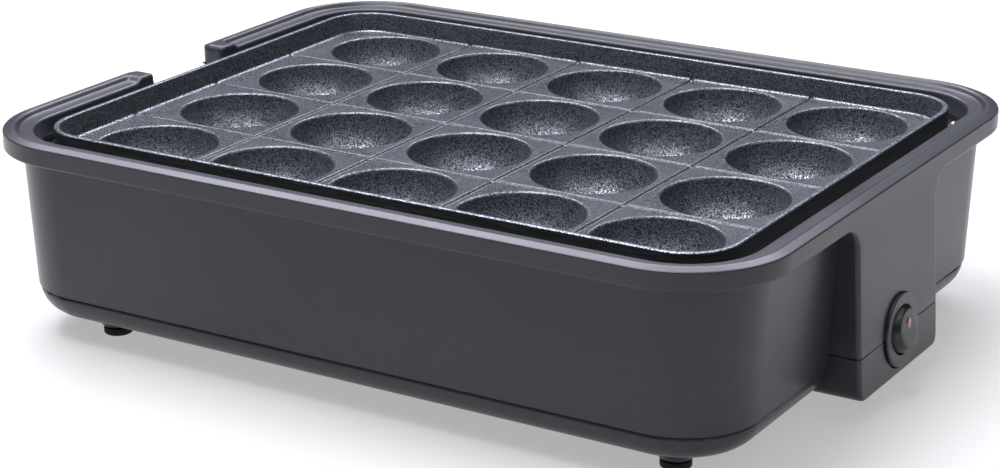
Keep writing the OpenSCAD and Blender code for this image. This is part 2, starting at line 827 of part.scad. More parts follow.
module terminal_block() {
    low = base_floor + 2;
    color(CERAMIC) framed() translate([block_x, block_y, 0]) difference() {
        union() {
            block([-block_len / 2, -block_wid / 2, low], [block_len / 2, block_wid / 2, low + 4]);
            for (dx = [-10, 0, 10])
                block([dx - 4, -block_wid / 2, low], [dx + 4, block_wid / 2, low + block_h]);
        }
        for (dx = [-10, 0, 10]) {
            translate([dx, 0, low + 6.5]) rotate([90, 0, 0])
                cylinder(r = 2, h = block_wid + 2, center = true);
            translate([dx, 0, 0]) post(1.6, low + 6.5, low + block_h + 1);
        }
    }
}

module terminal_screws() {
    low = base_floor + 2;
    color(STEEL) framed() for (dx = [-10, 0, 10]) translate([block_x + dx, block_y, 0])
        post(1.55, low + 8.6, low + block_h - 0.6);
}

module switch_housing() {
    color(BLACK) framed() at_switch() difference() {
        union() {
            along_x(bezel_r, 0, bezel_t - 0.5);
            translate([bezel_t - 0.5, 0, 0]) rotate([0, 90, 0])
                cylinder(r1 = bezel_r, r2 = bezel_r - 0.5, h = 0.5);
            along_x(barrel_r, -barrel_l, 0.1);
        }
        along_x(cavity_r, -12, bezel_t + 1);
        translate([bezel_t - pivot_depth, 0, 0]) rotate([90, 0, 0])
            cylinder(r = pivot_r + pivot_play, h = 2 * barrel_r + 2, center = true);
    }
}

// The rocker's frame: origin on the pivot, X square to its face at rest
module at_rocker() {
    at_switch() translate([bezel_t - pivot_depth, 0, 0]) rotate([0, -rocker_tilt, 0]) children();
}

module switch_rocker() {
    color(BLACK) framed() at_rocker() difference() {
        union() {
            intersection() {
                sphere(r = rocker_r);
                block([-3.5, -rocker_r, -rocker_r], [rocker_face, rocker_r, rocker_r]);
            }
            rotate([90, 0, 0]) cylinder(r = pivot_r, h = 2 * barrel_r - 0.6, center = true);
        }
        translate([0, 0, lens_up]) along_x(lens_r, rocker_face - 1.2, rocker_face + 1);
    }
}

module lamp_lens() {
    color([0.75, 0.12, 0.12]) framed() at_rocker() translate([0, 0, lens_up])
        along_x(lens_r - 0.05, rocker_face - 1.2, rocker_face + 0.15);
}

module switch_terminals() {
    color(STEEL) framed() at_switch() for (z = [-6, 0, 6])
        block([-barrel_l - blade_l, -blade_w / 2, z - blade_t / 2], [-barrel_l, blade_w / 2, z + blade_t / 2]);
}

module cord_gland() {
    color(BLACK) framed() translate([gland_x, box_half, gland_z]) rotate([-90, 0, 0]) difference() {
        union() {
            post(gland_r + gland_t - 0.05, -wall_t - 1.6, 0.1);
            post(gland_out, 0, 1.4);
            post(gland_out, -wall_t - 1.6, -wall_t - 0.05);
        }
        post(gland_r, -10, 10);
    }
}

// ---------- feet and fasteners ----------

module foot(x, y) {
    color(BLACK) framed() translate([x, y, 0]) {
        translate([0, 0, 0.5]) cylinder(r = foot_r, h = foot_pad - 0.5);
        cylinder(r1 = foot_r - 0.5, r2 = foot_r, h = 0.5);
        post(foot_r - 1.6, foot_pad, foot_top);
        post(foot_stem_r, foot_pad, base_floor);
        translate([0, 0, base_floor]) cylinder(r1 = foot_stem_r + 0.8, r2 = foot_stem_r - 0.6, h = 2);
    }
}

module foot_front_left() { foot(-foot_left, -foot_y); }
module foot_front_right() { foot(foot_right, -foot_y); }
module foot_back_left() { foot(-foot_left, foot_y); }
module foot_back_right() { foot(foot_right, foot_y); }

module base_screws() {
    color(STEEL) framed() screw_points() translate([0, 0, seat_z]) screw(screw_long);
}

module cover_screws() {
    color(STEEL) framed() cover_points() translate([0, 0, cover_seat_z]) screw(screw_long);
}

module reflector_screws() {
    color(STEEL) framed() tray_points()
        translate([0, 0, flange_z]) mirror([0, 0, 1]) screw(screw_mid);
}

// ---------- leads inside ----------

module lead_switch() {
    color(BLACK) framed() lead([
        [block_x + 10, block_y - block_wid / 2 - 0.2, base_floor + 8.5],
        [block_x + 9, 15, base_floor + 7.8],
        [blade_x - 8, 2.5, switch_z - 6.6],
        [blade_x - 0.1, 0, switch_z - 6.3]
    ]);
}

module lead_thermostat() {
    blade_z = tray_under - stat_h - blade_l;
    color([0.7, 0.1, 0.1]) framed() lead([
        [stat_x + 5, 0, blade_z - 0.1],
        [stat_x + 5, 0, blade_z - 3.5],
        [blade_x - 12, 0, switch_z],
        [blade_x - 0.1, 0, switch_z]
    ]);
}

module lead_fuse() {
    blade_z = tray_under - stat_h - blade_l;
    color([0.9, 0.9, 0.9]) framed() lead([
        [stat_x - 5, 0, blade_z - 0.1],
        [stat_x - 5, 0, blade_z - 4],
        [stat_x - 5, fuse_y, blade_z - 4],
        [fuse_x - fuse_l / 2 - 9, fuse_y, fuse_z],
        [fuse_x - fuse_l / 2 - 5.1, fuse_y, fuse_z]
    ]);
}

module lead_element() {
    pin_x = tail_x1 + pin_l - 1.6;
    fuse_end = fuse_x + fuse_l / 2 + 2.1;
    color([0.9, 0.9, 0.9]) framed() {
        lead([
            [fuse_end, fuse_y, fuse_z],
            [fuse_end + 3, fuse_y + 0.2, fuse_z - 0.3],
            [rim_a - 20, fuse_y + 1.5, fuse_z - 6],
            [pin_x - 1.5, -tail_y - 2, tube_z - 9],
            [pin_x, -tail_y, tube_z - pin_r - 0.25]
        ]);
        lead([
            [block_x - 10, block_y - block_wid / 2 - 0.2, base_floor + 8.5],
            [block_x - 9.6, block_y - block_wid / 2 - 5, base_floor + 8.9],
            [rim_a - 20, tail_y + 9, fuse_z - 5.5],
            [pin_x - 1.5, tail_y + 2, tube_z - 9],
            [pin_x, tail_y, tube_z - pin_r - 0.25]
        ]);
    }
}

housing();
base_pan();
control_cover();
cooking_plate();
heat_reflector();
heating_element();
element_pins();
element_bushes();
element_brackets();
bracket_screws();
thermostat();
thermostat_rivets();
thermal_fuse();
fuse_clip();
terminal_block();
terminal_screws();
switch_housing();
switch_rocker();
lamp_lens();
switch_terminals();
cord_gland();
foot_front_left();
foot_front_right();
foot_back_left();
foot_back_right();
base_screws();
cover_screws();
reflector_screws();
lead_switch();
lead_thermostat();
lead_fuse();
lead_element();
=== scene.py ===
"""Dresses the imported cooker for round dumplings: mouldings, cast plate, switch, heater and studio.

Sizes are in millimetres about the middle of the rim, as the part's source has them, and are turned into
metres in the frame when a mesh is made.
"""

from __future__ import annotations

import json
import logging
import math
from dataclasses import dataclass, field
from enum import Enum
from typing import Callable, Sequence

import bmesh
import bpy
from mathutils import Matrix, Vector

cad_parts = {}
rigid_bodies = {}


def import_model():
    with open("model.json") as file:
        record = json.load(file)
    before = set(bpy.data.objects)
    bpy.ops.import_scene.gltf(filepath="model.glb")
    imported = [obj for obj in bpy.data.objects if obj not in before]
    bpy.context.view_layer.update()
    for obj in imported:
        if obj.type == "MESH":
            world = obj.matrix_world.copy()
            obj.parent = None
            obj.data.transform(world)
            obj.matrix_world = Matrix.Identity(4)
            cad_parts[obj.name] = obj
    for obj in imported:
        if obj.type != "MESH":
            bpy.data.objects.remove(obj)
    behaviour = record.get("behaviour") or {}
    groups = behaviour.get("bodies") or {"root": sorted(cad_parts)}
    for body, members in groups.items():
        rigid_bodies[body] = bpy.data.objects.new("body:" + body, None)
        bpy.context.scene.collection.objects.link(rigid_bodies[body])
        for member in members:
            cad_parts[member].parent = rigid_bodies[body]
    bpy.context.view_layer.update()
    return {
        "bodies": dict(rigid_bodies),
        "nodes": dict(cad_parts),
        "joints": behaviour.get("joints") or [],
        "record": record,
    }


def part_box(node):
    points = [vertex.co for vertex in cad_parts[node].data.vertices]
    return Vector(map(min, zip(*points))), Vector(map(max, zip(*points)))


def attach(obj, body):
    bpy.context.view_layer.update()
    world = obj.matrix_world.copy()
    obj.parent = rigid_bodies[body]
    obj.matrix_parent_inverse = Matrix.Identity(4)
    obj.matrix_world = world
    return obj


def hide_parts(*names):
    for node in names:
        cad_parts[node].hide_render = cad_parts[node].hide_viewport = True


log = logging.getLogger("dumpling_maker")

Point = tuple[float, float, float]
Profile = list[tuple[float, float]]
Socket = bpy.types.NodeSocket

MM = 0.001
WELD = 2e-6
SHADER = "ShaderNodeTree"
FLOAT = "NodeSocketFloat"


# ------------------------------------------------------------------ small geometry helpers


def arc(cx: float, cz: float, r: float, start: float, stop: float, steps: int) -> Profile:
    """Samples an arc of a circle.

    Args:
        cx: First coordinate of the centre.
        cz: Second coordinate of the centre.
        r: Radius.
        start: First angle, in degrees.
        stop: Last angle, in degrees.
        steps: Number of stretches.

    Returns:
        steps + 1 points.
    """
    angles = [math.radians(start + (stop - start) * k / steps) for k in range(steps + 1)]
    return [(cx + r * math.cos(a), cz + r * math.sin(a)) for a in angles]


def smooth_step(low: float, high: float, value: float) -> float:
    """Returns 0 below low, 1 above high and a smooth ramp between them."""
    t = min(max((value - low) / (high - low), 0.0), 1.0)
    return t * t * (3.0 - 2.0 * t)


def lerp(a: float, b: float, t: float) -> float:
    """Returns the value a share t of the way from a to b."""
    return a + (b - a) * t


def rounding(radius: float, away: float) -> float:
    """Returns how far a quarter-round edge has drawn in at a distance from its end face."""
    return radius - math.sqrt(max(radius ** 2 - max(radius - away, 0.0) ** 2, 0.0))


def outwards(x: float, y: float) -> tuple[float, float]:
    """Returns the unit direction from the origin to a point."""
    away = math.hypot(x, y)
    return x / away, y / away


def add_object(name: str, data: bpy.types.ID) -> bpy.types.Object:
    """Makes an object of mesh, camera or light data and puts it in the scene."""
    obj = bpy.data.objects.new(name, data)
    bpy.context.scene.collection.objects.link(obj)
    return obj


@dataclass(frozen=True)
class Station:
    """One place on an outline seen from above, with its outward direction."""

    x: float
    y: float
    nx: float
    ny: float

    def at(self, inset: float, z: float) -> Point:
        """Returns the point that lies a distance inwards of the outline, at a height."""
        return (self.x - self.nx * inset, self.y - self.ny * inset, z)


@dataclass(frozen=True)
class RoundedOutline:
    """A rectangle with round corners, walked anticlockwise from its right side."""

    half_x: float
    half_y: float
    corner: float
    arc_steps: int = 16

    def walk(self, right: Sequence[float], back: Sequence[float],
             left: Sequence[float], front: Sequence[float]) -> list[Station]:
        """Places stations all the way round.

        Args:
            right: Y values on the right side, rising.
            back: X values on the back side, falling.
            left: Y values on the left side, falling.
            front: X values on the front side, rising.

        Returns:
            The stations in order.
        """
        cx, cy = self.half_x - self.corner, self.half_y - self.corner
        out = [Station(self.half_x, y, 1, 0) for y in (-cy, *right, cy)]
        out += self._corner(cx, cy, 0)
        out += [Station(x, self.half_y, 0, 1) for x in (cx, *back, -cx)]
        out += self._corner(-cx, cy, 90)
        out += [Station(-self.half_x, y, -1, 0) for y in (cy, *left, -cy)]
        out += self._corner(-cx, -cy, 180)
        out += [Station(x, -self.half_y, 0, -1) for x in (-cx, *front, cx)]
        out += self._corner(cx, -cy, 270)
        return out

    def _corner(self, cx: float, cy: float, start: float) -> list[Station]:
        """Returns the stations inside one corner, without its two ends."""
        out = []
        for k in range(1, self.arc_steps):
            a = math.radians(start + 90 * k / self.arc_steps)
            c, s = math.cos(a), math.sin(a)
            out.append(Station(cx + self.corner * c, cy + self.corner * s, c, s))
        return out


class Shell:
    """Collects the points and faces of one piece, in millimetres, and makes its mesh."""

    def __init__(self, offset_x: float) -> None:
        """Starts an empty piece.

        Args:
            offset_x: Where the middle of the rim lies in the frame, along X.
        """
        self.offset_x = offset_x
        self.points: list[Point] = []
        self.values: list[float] = []
        self.faces: list[tuple[int, ...]] = []

    def face(self, *numbers: int) -> None:
        """Adds one face."""
        self.faces.append(tuple(numbers))

    def net(self, rows: Sequence[Sequence[Point]], around: bool = False, along: bool = False,
            skip: Callable[[int, int], bool] | None = None,
            value: Callable[[int, int], float] | None = None) -> list[list[int]]:
        """Joins rows of points into a net of quads.

        Args:
            rows: Rows with the same number of points each.
            around: Whether the last row joins the first.
            along: Whether the last point of each row joins its first.
            skip: Says which quads to leave out, by row and column.
            value: Gives each point's value of the piece's attribute.

        Returns:
            The numbers of the points, row by row.
        """
        ids = []
        for i, row in enumerate(rows):
            ids.append(list(range(len(self.points), len(self.points) + len(row))))
            self.points.extend(row)
            self.values.extend(value(i, j) if value is not None else 0.0 for j in range(len(row)))
        count, width = len(rows), len(rows[0])
        for i in range(count if around else count - 1):
            for j in range(width if along else width - 1):
                if skip is not None and skip(i, j):
                    continue
                k, m = (i + 1) % count, (j + 1) % width
                self.face(ids[i][j], ids[k][j], ids[k][m], ids[i][m])
        return ids

    def lathe(self, profile: Profile, place: Matrix, steps: int = 64) -> None:
        """Turns a profile of (radius, height) points about the place's Z axis."""
        rows = []
        for k in range(steps):
            a = 2 * math.pi * k / steps
            rows.append([tuple(place @ Vector((r * math.cos(a), r * math.sin(a), h))) for r, h in profile])
        self.net(rows, around=True)

    def make(self, name: str, sharp: float = 35.0, attribute: str | None = None,
             outward: bool = True) -> bpy.types.Object:
        """Makes the mesh object, in metres in the frame.

        Args:
            name: Name of the piece.
            sharp: Angle in degrees over which an edge stays sharp.
            attribute: Name under which the points' values are kept.
            outward: Whether the faces are turned outwards afterwards.

        Returns:
            The new object, at the origin.
        """
        mesh = bpy.data.meshes.new(name)
        mesh.from_pydata([((x + self.offset_x) * MM, y * MM, z * MM) for x, y, z in self.points],
                         [], self.faces)
        if attribute is not None:
            layer = mesh.attributes.new(attribute, "FLOAT", "POINT")
            layer.data.foreach_set("value", self.values)
        tidy(mesh, sharp, outward)
        return add_object(name, mesh)


def tidy(mesh: bpy.types.Mesh, sharp: float, outward: bool = True) -> None:
    """Merges a mesh's doubles, turns its faces outwards and smooths it below an angle."""
    work = bmesh.new()
    work.from_mesh(mesh)
    bmesh.ops.remove_doubles(work, verts=work.verts, dist=WELD)
    bmesh.ops.dissolve_degenerate(work, edges=work.edges, dist=WELD / 2)
    if outward:
        bmesh.ops.recalc_face_normals(work, faces=work.faces)
    work.to_mesh(mesh)
    work.free()
    mesh.shade_smooth()
    mesh.set_sharp_from_angle(angle=math.radians(sharp))


def flatten(obj: bpy.types.Object) -> None:
    """Turns a piece and its modifiers into one plain mesh, and takes the modifiers off."""
    graph = bpy.context.evaluated_depsgraph_get()
    mesh = bpy.data.meshes.new_from_object(obj.evaluated_get(graph), depsgraph=graph)
    obj.modifiers.clear()
    obj.data = mesh


def weigh_normals(obj: bpy.types.Object) -> None:
    """Keeps large flat faces flat beside their rounded edges."""
    mod = obj.modifiers.new("flat_faces_lead", "WEIGHTED_NORMAL")
    mod.keep_sharp = True
    mod.weight = 80


# ------------------------------------------------------------------ node trees of every kind


class NodeWriter:
    """Writes nodes and links into one tree."""

    def __init__(self, tree: bpy.types.NodeTree) -> None:
        """Takes the tree."""
        self.tree = tree

    def node(self, kind: str, links: dict[str | int, object] | None = None, **settings: object) -> bpy.types.Node:
        """Adds a node, sets its options and fills its inputs.

        Args:
            kind: The node's type.
            links: Input names or numbers, each with a socket to join or a value to set.
            **settings: The node's options.

        Returns:
            The new node.
        """
        made = self.tree.nodes.new(kind)
        for key, val in settings.items():
            setattr(made, key, val)
        self.fill(made, links or {})
        return made

    def fill(self, node: bpy.types.Node, values: dict[str | int, object]) -> None:
        """Joins a socket to each named input of a node, or sets its value."""
        for key, val in values.items():
            if isinstance(val, bpy.types.NodeSocket):
                self.tree.links.new(val, node.inputs[key])
            else:
                node.inputs[key].default_value = val

    def math(self, operation: str, a: Socket | float, b: Socket | float = 0.0) -> Socket:
        """Adds a Math node and returns its output."""
        return self.node("ShaderNodeMath", {0: a, 1: b}, operation=operation).outputs[0]

    def vector(self, operation: str, values: dict[str | int, object]) -> Socket:
        """Adds a Vector Math node and returns its vector."""
        return self.node("ShaderNodeVectorMath", values, operation=operation).outputs["Vector"]

    def spread(self, value: Socket, span: tuple[float, float], low: float, high: float) -> Socket:
        """Maps a span of a value onto low to high and returns the output."""
        return self.node("ShaderNodeMapRange", {"Value": value, "From Min": span[0], "From Max": span[1],
                                                "To Min": low, "To Max": high}).outputs["Result"]


class GroupMaker(NodeWriter):
    """Builds one node group with named inputs and outputs."""

    def __init__(self, name: str, kind: str, inputs: dict[str, float | int | str],
                 outputs: dict[str, str]) -> None:
        """Starts the group.

        Args:
            name: Name of the group.
            kind: Type of its tree.
            inputs: Named inputs with their defaults, or with a socket type where there is no default.
            outputs: Named outputs with their socket types.
        """
        super().__init__(bpy.data.node_groups.new(name, kind))
        face = self.tree.interface
        for key, default in inputs.items():
            socket = {float: FLOAT, int: "NodeSocketInt"}.get(type(default), default)
            item = face.new_socket(key, in_out="INPUT", socket_type=socket)
            if not isinstance(default, str):
                item.default_value = default
        for key, socket in outputs.items():
            face.new_socket(key, in_out="OUTPUT", socket_type=socket)
        self.given = self.tree.nodes.new("NodeGroupInput").outputs
        self.result = self.tree.nodes.new("NodeGroupOutput")

    def close(self, outputs: dict[str | int, object]) -> bpy.types.NodeTree:
        """Joins the group's outputs and returns its tree."""
        self.fill(self.result, outputs)
        return self.tree


# ------------------------------------------------------------------ shader groups


def make_grain_group() -> bpy.types.NodeTree:
    """Builds the fine texture of a moulded surface.

    Returns:
        A group that puts out a height and a slow, broad tone.
    """
    make = GroupMaker("moulded_grain", SHADER, {"Grain Per Metre": 2600.0, "Tone Per Metre": 18.0},
                      {"Height": FLOAT, "Tone": FLOAT})
    where = make.node("ShaderNodeTexCoord").outputs["Object"]
    fine = make.node("ShaderNodeTexNoise", {"Vector": where, "Scale": make.given["Grain Per Metre"],
                                            "Detail": 3.0, "Roughness": 0.6})
    broad = make.node("ShaderNodeTexNoise", {"Vector": where, "Scale": make.given["Tone Per Metre"],
                                             "Detail": 2.0})
    return make.close({"Height": fine.outputs["Fac"], "Tone": broad.outputs["Fac"]})


def make_edge_highlight_group() -> bpy.types.NodeTree:
    """Builds a mask of the convex edges, along which the finishes paint a highlight.

    Returns:
        A group that puts out a mask.
    """
    flat_pointiness, noise_gain = 0.505, 1.6
    make = GroupMaker("painted_edge_highlight", SHADER, {"Sharpness": 14.0, "Break Up Per Metre": 240.0}, {"Mask": FLOAT})
    shape = make.node("ShaderNodeNewGeometry")
    lifted = make.math("SUBTRACT", shape.outputs["Pointiness"], flat_pointiness)
    edge = make.math("MULTIPLY", lifted, make.given["Sharpness"])
    noise = make.node("ShaderNodeTexNoise", {"Vector": make.node("ShaderNodeTexCoord").outputs["Object"],
                                             "Scale": make.given["Break Up Per Metre"]})
    broken = make.math("MULTIPLY", edge, make.math("MULTIPLY", noise.outputs["Fac"], noise_gain))
    return make.close({"Mask": make.node("ShaderNodeClamp", {"Value": broken}).outputs[0]})


def make_flake_group() -> bpy.types.NodeTree:
    """Builds the metal flakes of a non-stick coat: each flake has its own tilt and brightness.

    Returns:
        A group that puts out a flake mask, each flake's brightness and a tilted normal.
    """
    make = GroupMaker("coat_flakes", SHADER, {"Flakes Per Metre": 2600.0, "Share": 0.4, "Tilt": 0.9},
                      {"Mask": FLOAT, "Brightness": FLOAT, "Normal": "NodeSocketVector"})
    where = make.node("ShaderNodeTexCoord").outputs["Object"]
    cells = make.node("ShaderNodeTexVoronoi", {"Vector": where, "Scale": make.given["Flakes Per Metre"]},
                      feature="F1", voronoi_dimensions="3D")
    parts = make.node("ShaderNodeSeparateColor", {"Color": cells.outputs["Color"]})
    chosen = make.math("LESS_THAN", parts.outputs["Red"], make.given["Share"])
    centred = make.vector("SUBTRACT", {0: cells.outputs["Color"], 1: (0.5, 0.5, 0.5)})
    tilt = make.vector("SCALE", {0: centred, "Scale": make.math("MULTIPLY", make.given["Tilt"], chosen)})
    total = make.vector("ADD", {0: make.node("ShaderNodeNewGeometry").outputs["Normal"], 1: tilt})
    return make.close({"Mask": chosen, "Brightness": parts.outputs["Green"],
                       "Normal": make.vector("NORMALIZE", {0: total})})


def make_brush_group() -> bpy.types.NodeTree:
    """Builds level streaks, as on rolled sheet or a cast wall.

    Returns:
        A group that puts out a height.
    """
    make = GroupMaker("rolled_streaks", SHADER, {"Across Per Metre": 2200.0, "Along Per Metre": 60.0},
                      {"Height": FLOAT})
    parts = make.node("ShaderNodeSeparateXYZ", {0: make.node("ShaderNodeTexCoord").outputs["Object"]}).outputs
    along, across = make.given["Along Per Metre"], make.given["Across Per Metre"]
    joined = make.node("ShaderNodeCombineXYZ", {
        "X": make.math("MULTIPLY", make.math("ADD", parts["X"], parts["Y"]), along),
        "Y": make.math("MULTIPLY", make.math("SUBTRACT", parts["Y"], parts["X"]), along),
        "Z": make.math("MULTIPLY", parts["Z"], across)})
    noise = make.node("ShaderNodeTexNoise", {"Vector": joined.outputs[0], "Scale": 1.0, "Detail": 4.0})
    return make.close({"Height": noise.outputs["Fac"]})


@dataclass
class ShaderGroups:
    """The node groups that the finishes share, each built once."""

    grain: bpy.types.NodeTree = field(default_factory=make_grain_group)
    edge: bpy.types.NodeTree = field(default_factory=make_edge_highlight_group)
    flakes: bpy.types.NodeTree = field(default_factory=make_flake_group)
    streaks: bpy.types.NodeTree = field(default_factory=make_brush_group)


# ------------------------------------------------------------------ finishes

Colour = tuple[float, float, float]

NOISE_SPAN = (0.3, 0.7)
"""The part of a noise's 0 to 1 in which nearly all of its values lie."""


def scaled(colour: Colour, factor: float) -> Colour:
    """Returns a colour made darker or lighter."""
    return tuple(min(c * factor, 1.0) for c in colour)


class MaterialMaker(NodeWriter):
    """One material with a Principled shader, and helpers to wire it."""

    def __init__(self, name: str) -> None:
        """Starts the material.

        Args:
            name: Name of the material.
        """
        self.material = bpy.data.materials.new(name)
        self.material.use_nodes = True
        super().__init__(self.material.node_tree)

    def group(self, tree: bpy.types.NodeTree, **values: Socket | float) -> bpy.types.NodeOutputs:
        """Places a shared group, with underscores for spaces in its inputs, and returns its outputs."""
        return self.node("ShaderNodeGroup", {key.replace("_", " "): val for key, val in values.items()},
                         node_tree=tree).outputs

    def mix(self, factor: Socket, a: Colour | Socket, b: Colour | Socket) -> Socket:
        """Mixes two colours and returns the output."""
        a, b = ((*c, 1.0) if isinstance(c, tuple) else c for c in (a, b))
        return self.node("ShaderNodeMix", {"Factor": factor, 6: a, 7: b}, data_type="RGBA").outputs[2]

    def mix_value(self, factor: Socket, a: float | Socket, b: float | Socket) -> Socket:
        """Mixes two numbers and returns the output."""
        return self.node("ShaderNodeMix", {"Factor": factor, 2: a, 3: b}, data_type="FLOAT").outputs[0]

    def bump(self, height: Socket, distance: float, **base: Socket) -> Socket:
        """Adds a Bump node, with its distance in metres and its Normal if given, and returns its normal."""
        return self.node("ShaderNodeBump", {"Height": height, "Distance": distance, "Strength": 1.0,
                                            **base}).outputs["Normal"]

    def close(self, values: dict[str | int, object]) -> bpy.types.Material:
        """Fills the shader's inputs and returns the material."""
        self.fill(self.tree.nodes["Principled BSDF"], values)
        return self.material


@dataclass(frozen=True)
class Coating:
    """A finish; each kind says what its shader gets."""

    name: str
    colour: Colour

    def inputs(self, make: MaterialMaker, groups: ShaderGroups) -> dict[str | int, object]:
        """Returns the shader's inputs, each with a socket to join or a value to set.

        Args:
            make: The writer of the material's tree.
            groups: The shared shader groups.
        """
        raise NotImplementedError

    def material(self, groups: ShaderGroups) -> bpy.types.Material:
        """Builds the material.

        Args:
            groups: The shared shader groups.

        Returns:
            The new material.
        """
        make = MaterialMaker(self.name)
        return make.close(self.inputs(make, groups))


@dataclass(frozen=True)
class MouldedPlastic(Coating):
    """A moulded plastic with a fine matt texture."""

    roughness: float
    grain_height: float = 0.00001
    tone: float = 0.12
    # How much lighter the painted highlight makes the convex edges.
    edge_highlight_gain: float = 0.5
    gloss: float = 0.5
    uneven: float = 0.03

    def inputs(self, make: MaterialMaker, groups: ShaderGroups) -> dict[str | int, object]:
        """Returns the shader's inputs; see Coating."""
        grain = make.group(groups.grain)
        toned = make.mix(make.spread(grain["Tone"], NOISE_SPAN, 0, 1), scaled(self.colour, 1 - self.tone),
                         scaled(self.colour, 1 + self.tone))
        return {
            # The convex edges are painted lighter along the edge mask: a painted highlight.
            "Base Color": make.mix(make.group(groups.edge)["Mask"], toned, scaled(self.colour, 1 + self.edge_highlight_gain)),
            "Roughness": make.spread(grain["Tone"], NOISE_SPAN, self.roughness - self.uneven,
                                     self.roughness + self.uneven),
            "Normal": make.bump(grain["Height"], self.grain_height),
            "Specular IOR Level": self.gloss}


@dataclass(frozen=True)
class FlakedCoat(Coating):
    """A dark non-stick coat with metal flakes over cast aluminium."""

    flake: Colour
    # The cast wall's colour, which the painted shade on the coat also leans towards.
    side: Colour
    flakes_per_metre: float = 3400.0
    share: float = 0.6
    tilt: float = 0.22
    metal: tuple[float, float] = (0.1, 0.62)
    roughness: tuple[float, float] = (0.25, 0.31)
    side_roughness: float = 0.62
    gloss: float = 0.35
    relief: float = 0.0002

    def inputs(self, make: MaterialMaker, groups: ShaderGroups) -> dict[str | int, object]:
        """Returns the shader's inputs; see Coating.

        The piece's attribute "side" is 1 on the uncoated cast wall and 0 on the open coat. Between them, on the
        deck, the wall's inner face and the cups' upper walls, it paints shade: the coat is darkened towards the
        cast wall's colour and its flakes are calmed.
        """
        side = make.node("ShaderNodeAttribute", attribute_name="side").outputs["Fac"]
        flakes = make.group(groups.flakes, Flakes_Per_Metre=self.flakes_per_metre, Share=self.share,
                            Tilt=make.mix_value(side, self.tilt, 0.0))
        grain = make.group(groups.grain, Grain_Per_Metre=900.0, Tone_Per_Metre=30.0)
        streaks = make.group(groups.streaks)["Height"]
        bright = make.mix(flakes["Brightness"], scaled(self.flake, 0.35), self.flake)
        coat = make.mix(flakes["Mask"], self.colour, bright)
        # Towards the cast colour where "side" is above 0: the bare cast wall, and painted shade on the deck, inner
        # wall and cups' upper walls.
        cast_and_shade_colour = make.mix(make.spread(streaks, (0.45, 0.62), 0, 1), self.side, scaled(self.side, 3.2))
        cast = make.spread(side, (0.75, 1.0), 0, 1)
        height = make.mix_value(side, make.spread(grain["Height"], (0, 1), 0, 0.12), streaks)
        return {
            "Base Color": make.mix(side, coat, cast_and_shade_colour),
            "Metallic": make.mix_value(side, make.spread(flakes["Mask"], (0, 1), *self.metal), 0.0),
            "Roughness": make.mix_value(cast, make.spread(grain["Tone"], NOISE_SPAN, *self.roughness),
                                        self.side_roughness),
            "Normal": make.bump(height, self.relief, Normal=flakes["Normal"]),
            "Specular IOR Level": self.gloss}


@dataclass(frozen=True)
class RolledMetal(Coating):
    """A metal with fine streaks."""

    roughness: float
    streaks_per_metre: float = 900.0

    def inputs(self, make: MaterialMaker, groups: ShaderGroups) -> dict[str | int, object]:
        """Returns the shader's inputs; see Coating."""
        streaks = make.group(groups.streaks, Across_Per_Metre=self.streaks_per_metre,
                             Along_Per_Metre=self.streaks_per_metre)["Height"]
        return {
            "Metallic": 1.0,
            "Base Color": make.mix(streaks, scaled(self.colour, 0.8), self.colour),
            "Roughness": make.spread(streaks, NOISE_SPAN, self.roughness, self.roughness + 0.12),
            "Normal": make.bump(streaks, 0.00001)}


@dataclass(frozen=True)
class LampWindow(Coating):
    """A clear red plastic over an unlit lamp."""

    def inputs(self, make: MaterialMaker, groups: ShaderGroups) -> dict[str | int, object]:
        """Returns the shader's inputs; see Coating."""
        tone = make.group(groups.grain, Tone_Per_Metre=900.0)["Tone"]
        return {
            "Base Color": make.mix(make.spread(tone, (0.35, 0.65), 0, 1), scaled(self.colour, 0.45), self.colour),
            "Roughness": 0.12, "Coat Weight": 0.6}


class Finish(Enum):
    """Every finish on the cooker."""

    CASE = MouldedPlastic("case_matt_grey", (0.050, 0.051, 0.062), 0.31, gloss=0.36)
    CONTROL = MouldedPlastic("control_satin_black", (0.024, 0.026, 0.030), 0.34, 0.000004)
    RUBBER = MouldedPlastic("foot_rubber", (0.02, 0.02, 0.02), 0.7)
    CERAMIC = MouldedPlastic("ceramic_white", (0.78, 0.76, 0.71), 0.35)
    LEAD_WHITE = MouldedPlastic("lead_sleeve_white", (0.68, 0.66, 0.62), 0.6)
    LEAD_RED = MouldedPlastic("lead_sleeve_red", (0.4, 0.04, 0.03), 0.5)
    PLATE = FlakedCoat("plate_flaked_coat", (0.032, 0.036, 0.044), (0.44, 0.48, 0.55), (0.010, 0.011, 0.013))
    CAST = MouldedPlastic("plate_cast_underside", (0.016, 0.018, 0.021), 0.5, 0.00003)
    BRIGHT = RolledMetal("reflector_bright_sheet", (0.86, 0.87, 0.88), 0.22)
    STEEL = RolledMetal("zinc_plated_steel", (0.62, 0.62, 0.63), 0.32)
    SHEATH = RolledMetal("heater_sheath", (0.17, 0.17, 0.18), 0.42)
    LENS = LampWindow("lamp_window_red", (0.40, 0.02, 0.03))


class Wardrobe:
    """Makes each finish once and puts it on pieces."""

    def __init__(self) -> None:
        """Builds the shared groups."""
        self.groups = ShaderGroups()
        self.made: dict[Finish, bpy.types.Material] = {}

    def get(self, finish: Finish) -> bpy.types.Material:
        """Returns the material of a finish, built at its first use."""
        if finish not in self.made:
            self.made[finish] = finish.value.material(self.groups)
        return self.made[finish]

    def dress(self, obj: bpy.types.Object, finish: Finish) -> None:
        """Gives the whole piece one finish."""
        obj.data.materials.clear()
        obj.data.materials.append(self.get(finish))

    def redress(self, obj: bpy.types.Object, finish: Finish) -> None:
        """Gives a CAD node's slots a finish and leaves its mesh alone."""
        for place in obj.material_slots:
            place.material = self.get(finish)


# ------------------------------------------------------------------ geometry node trees


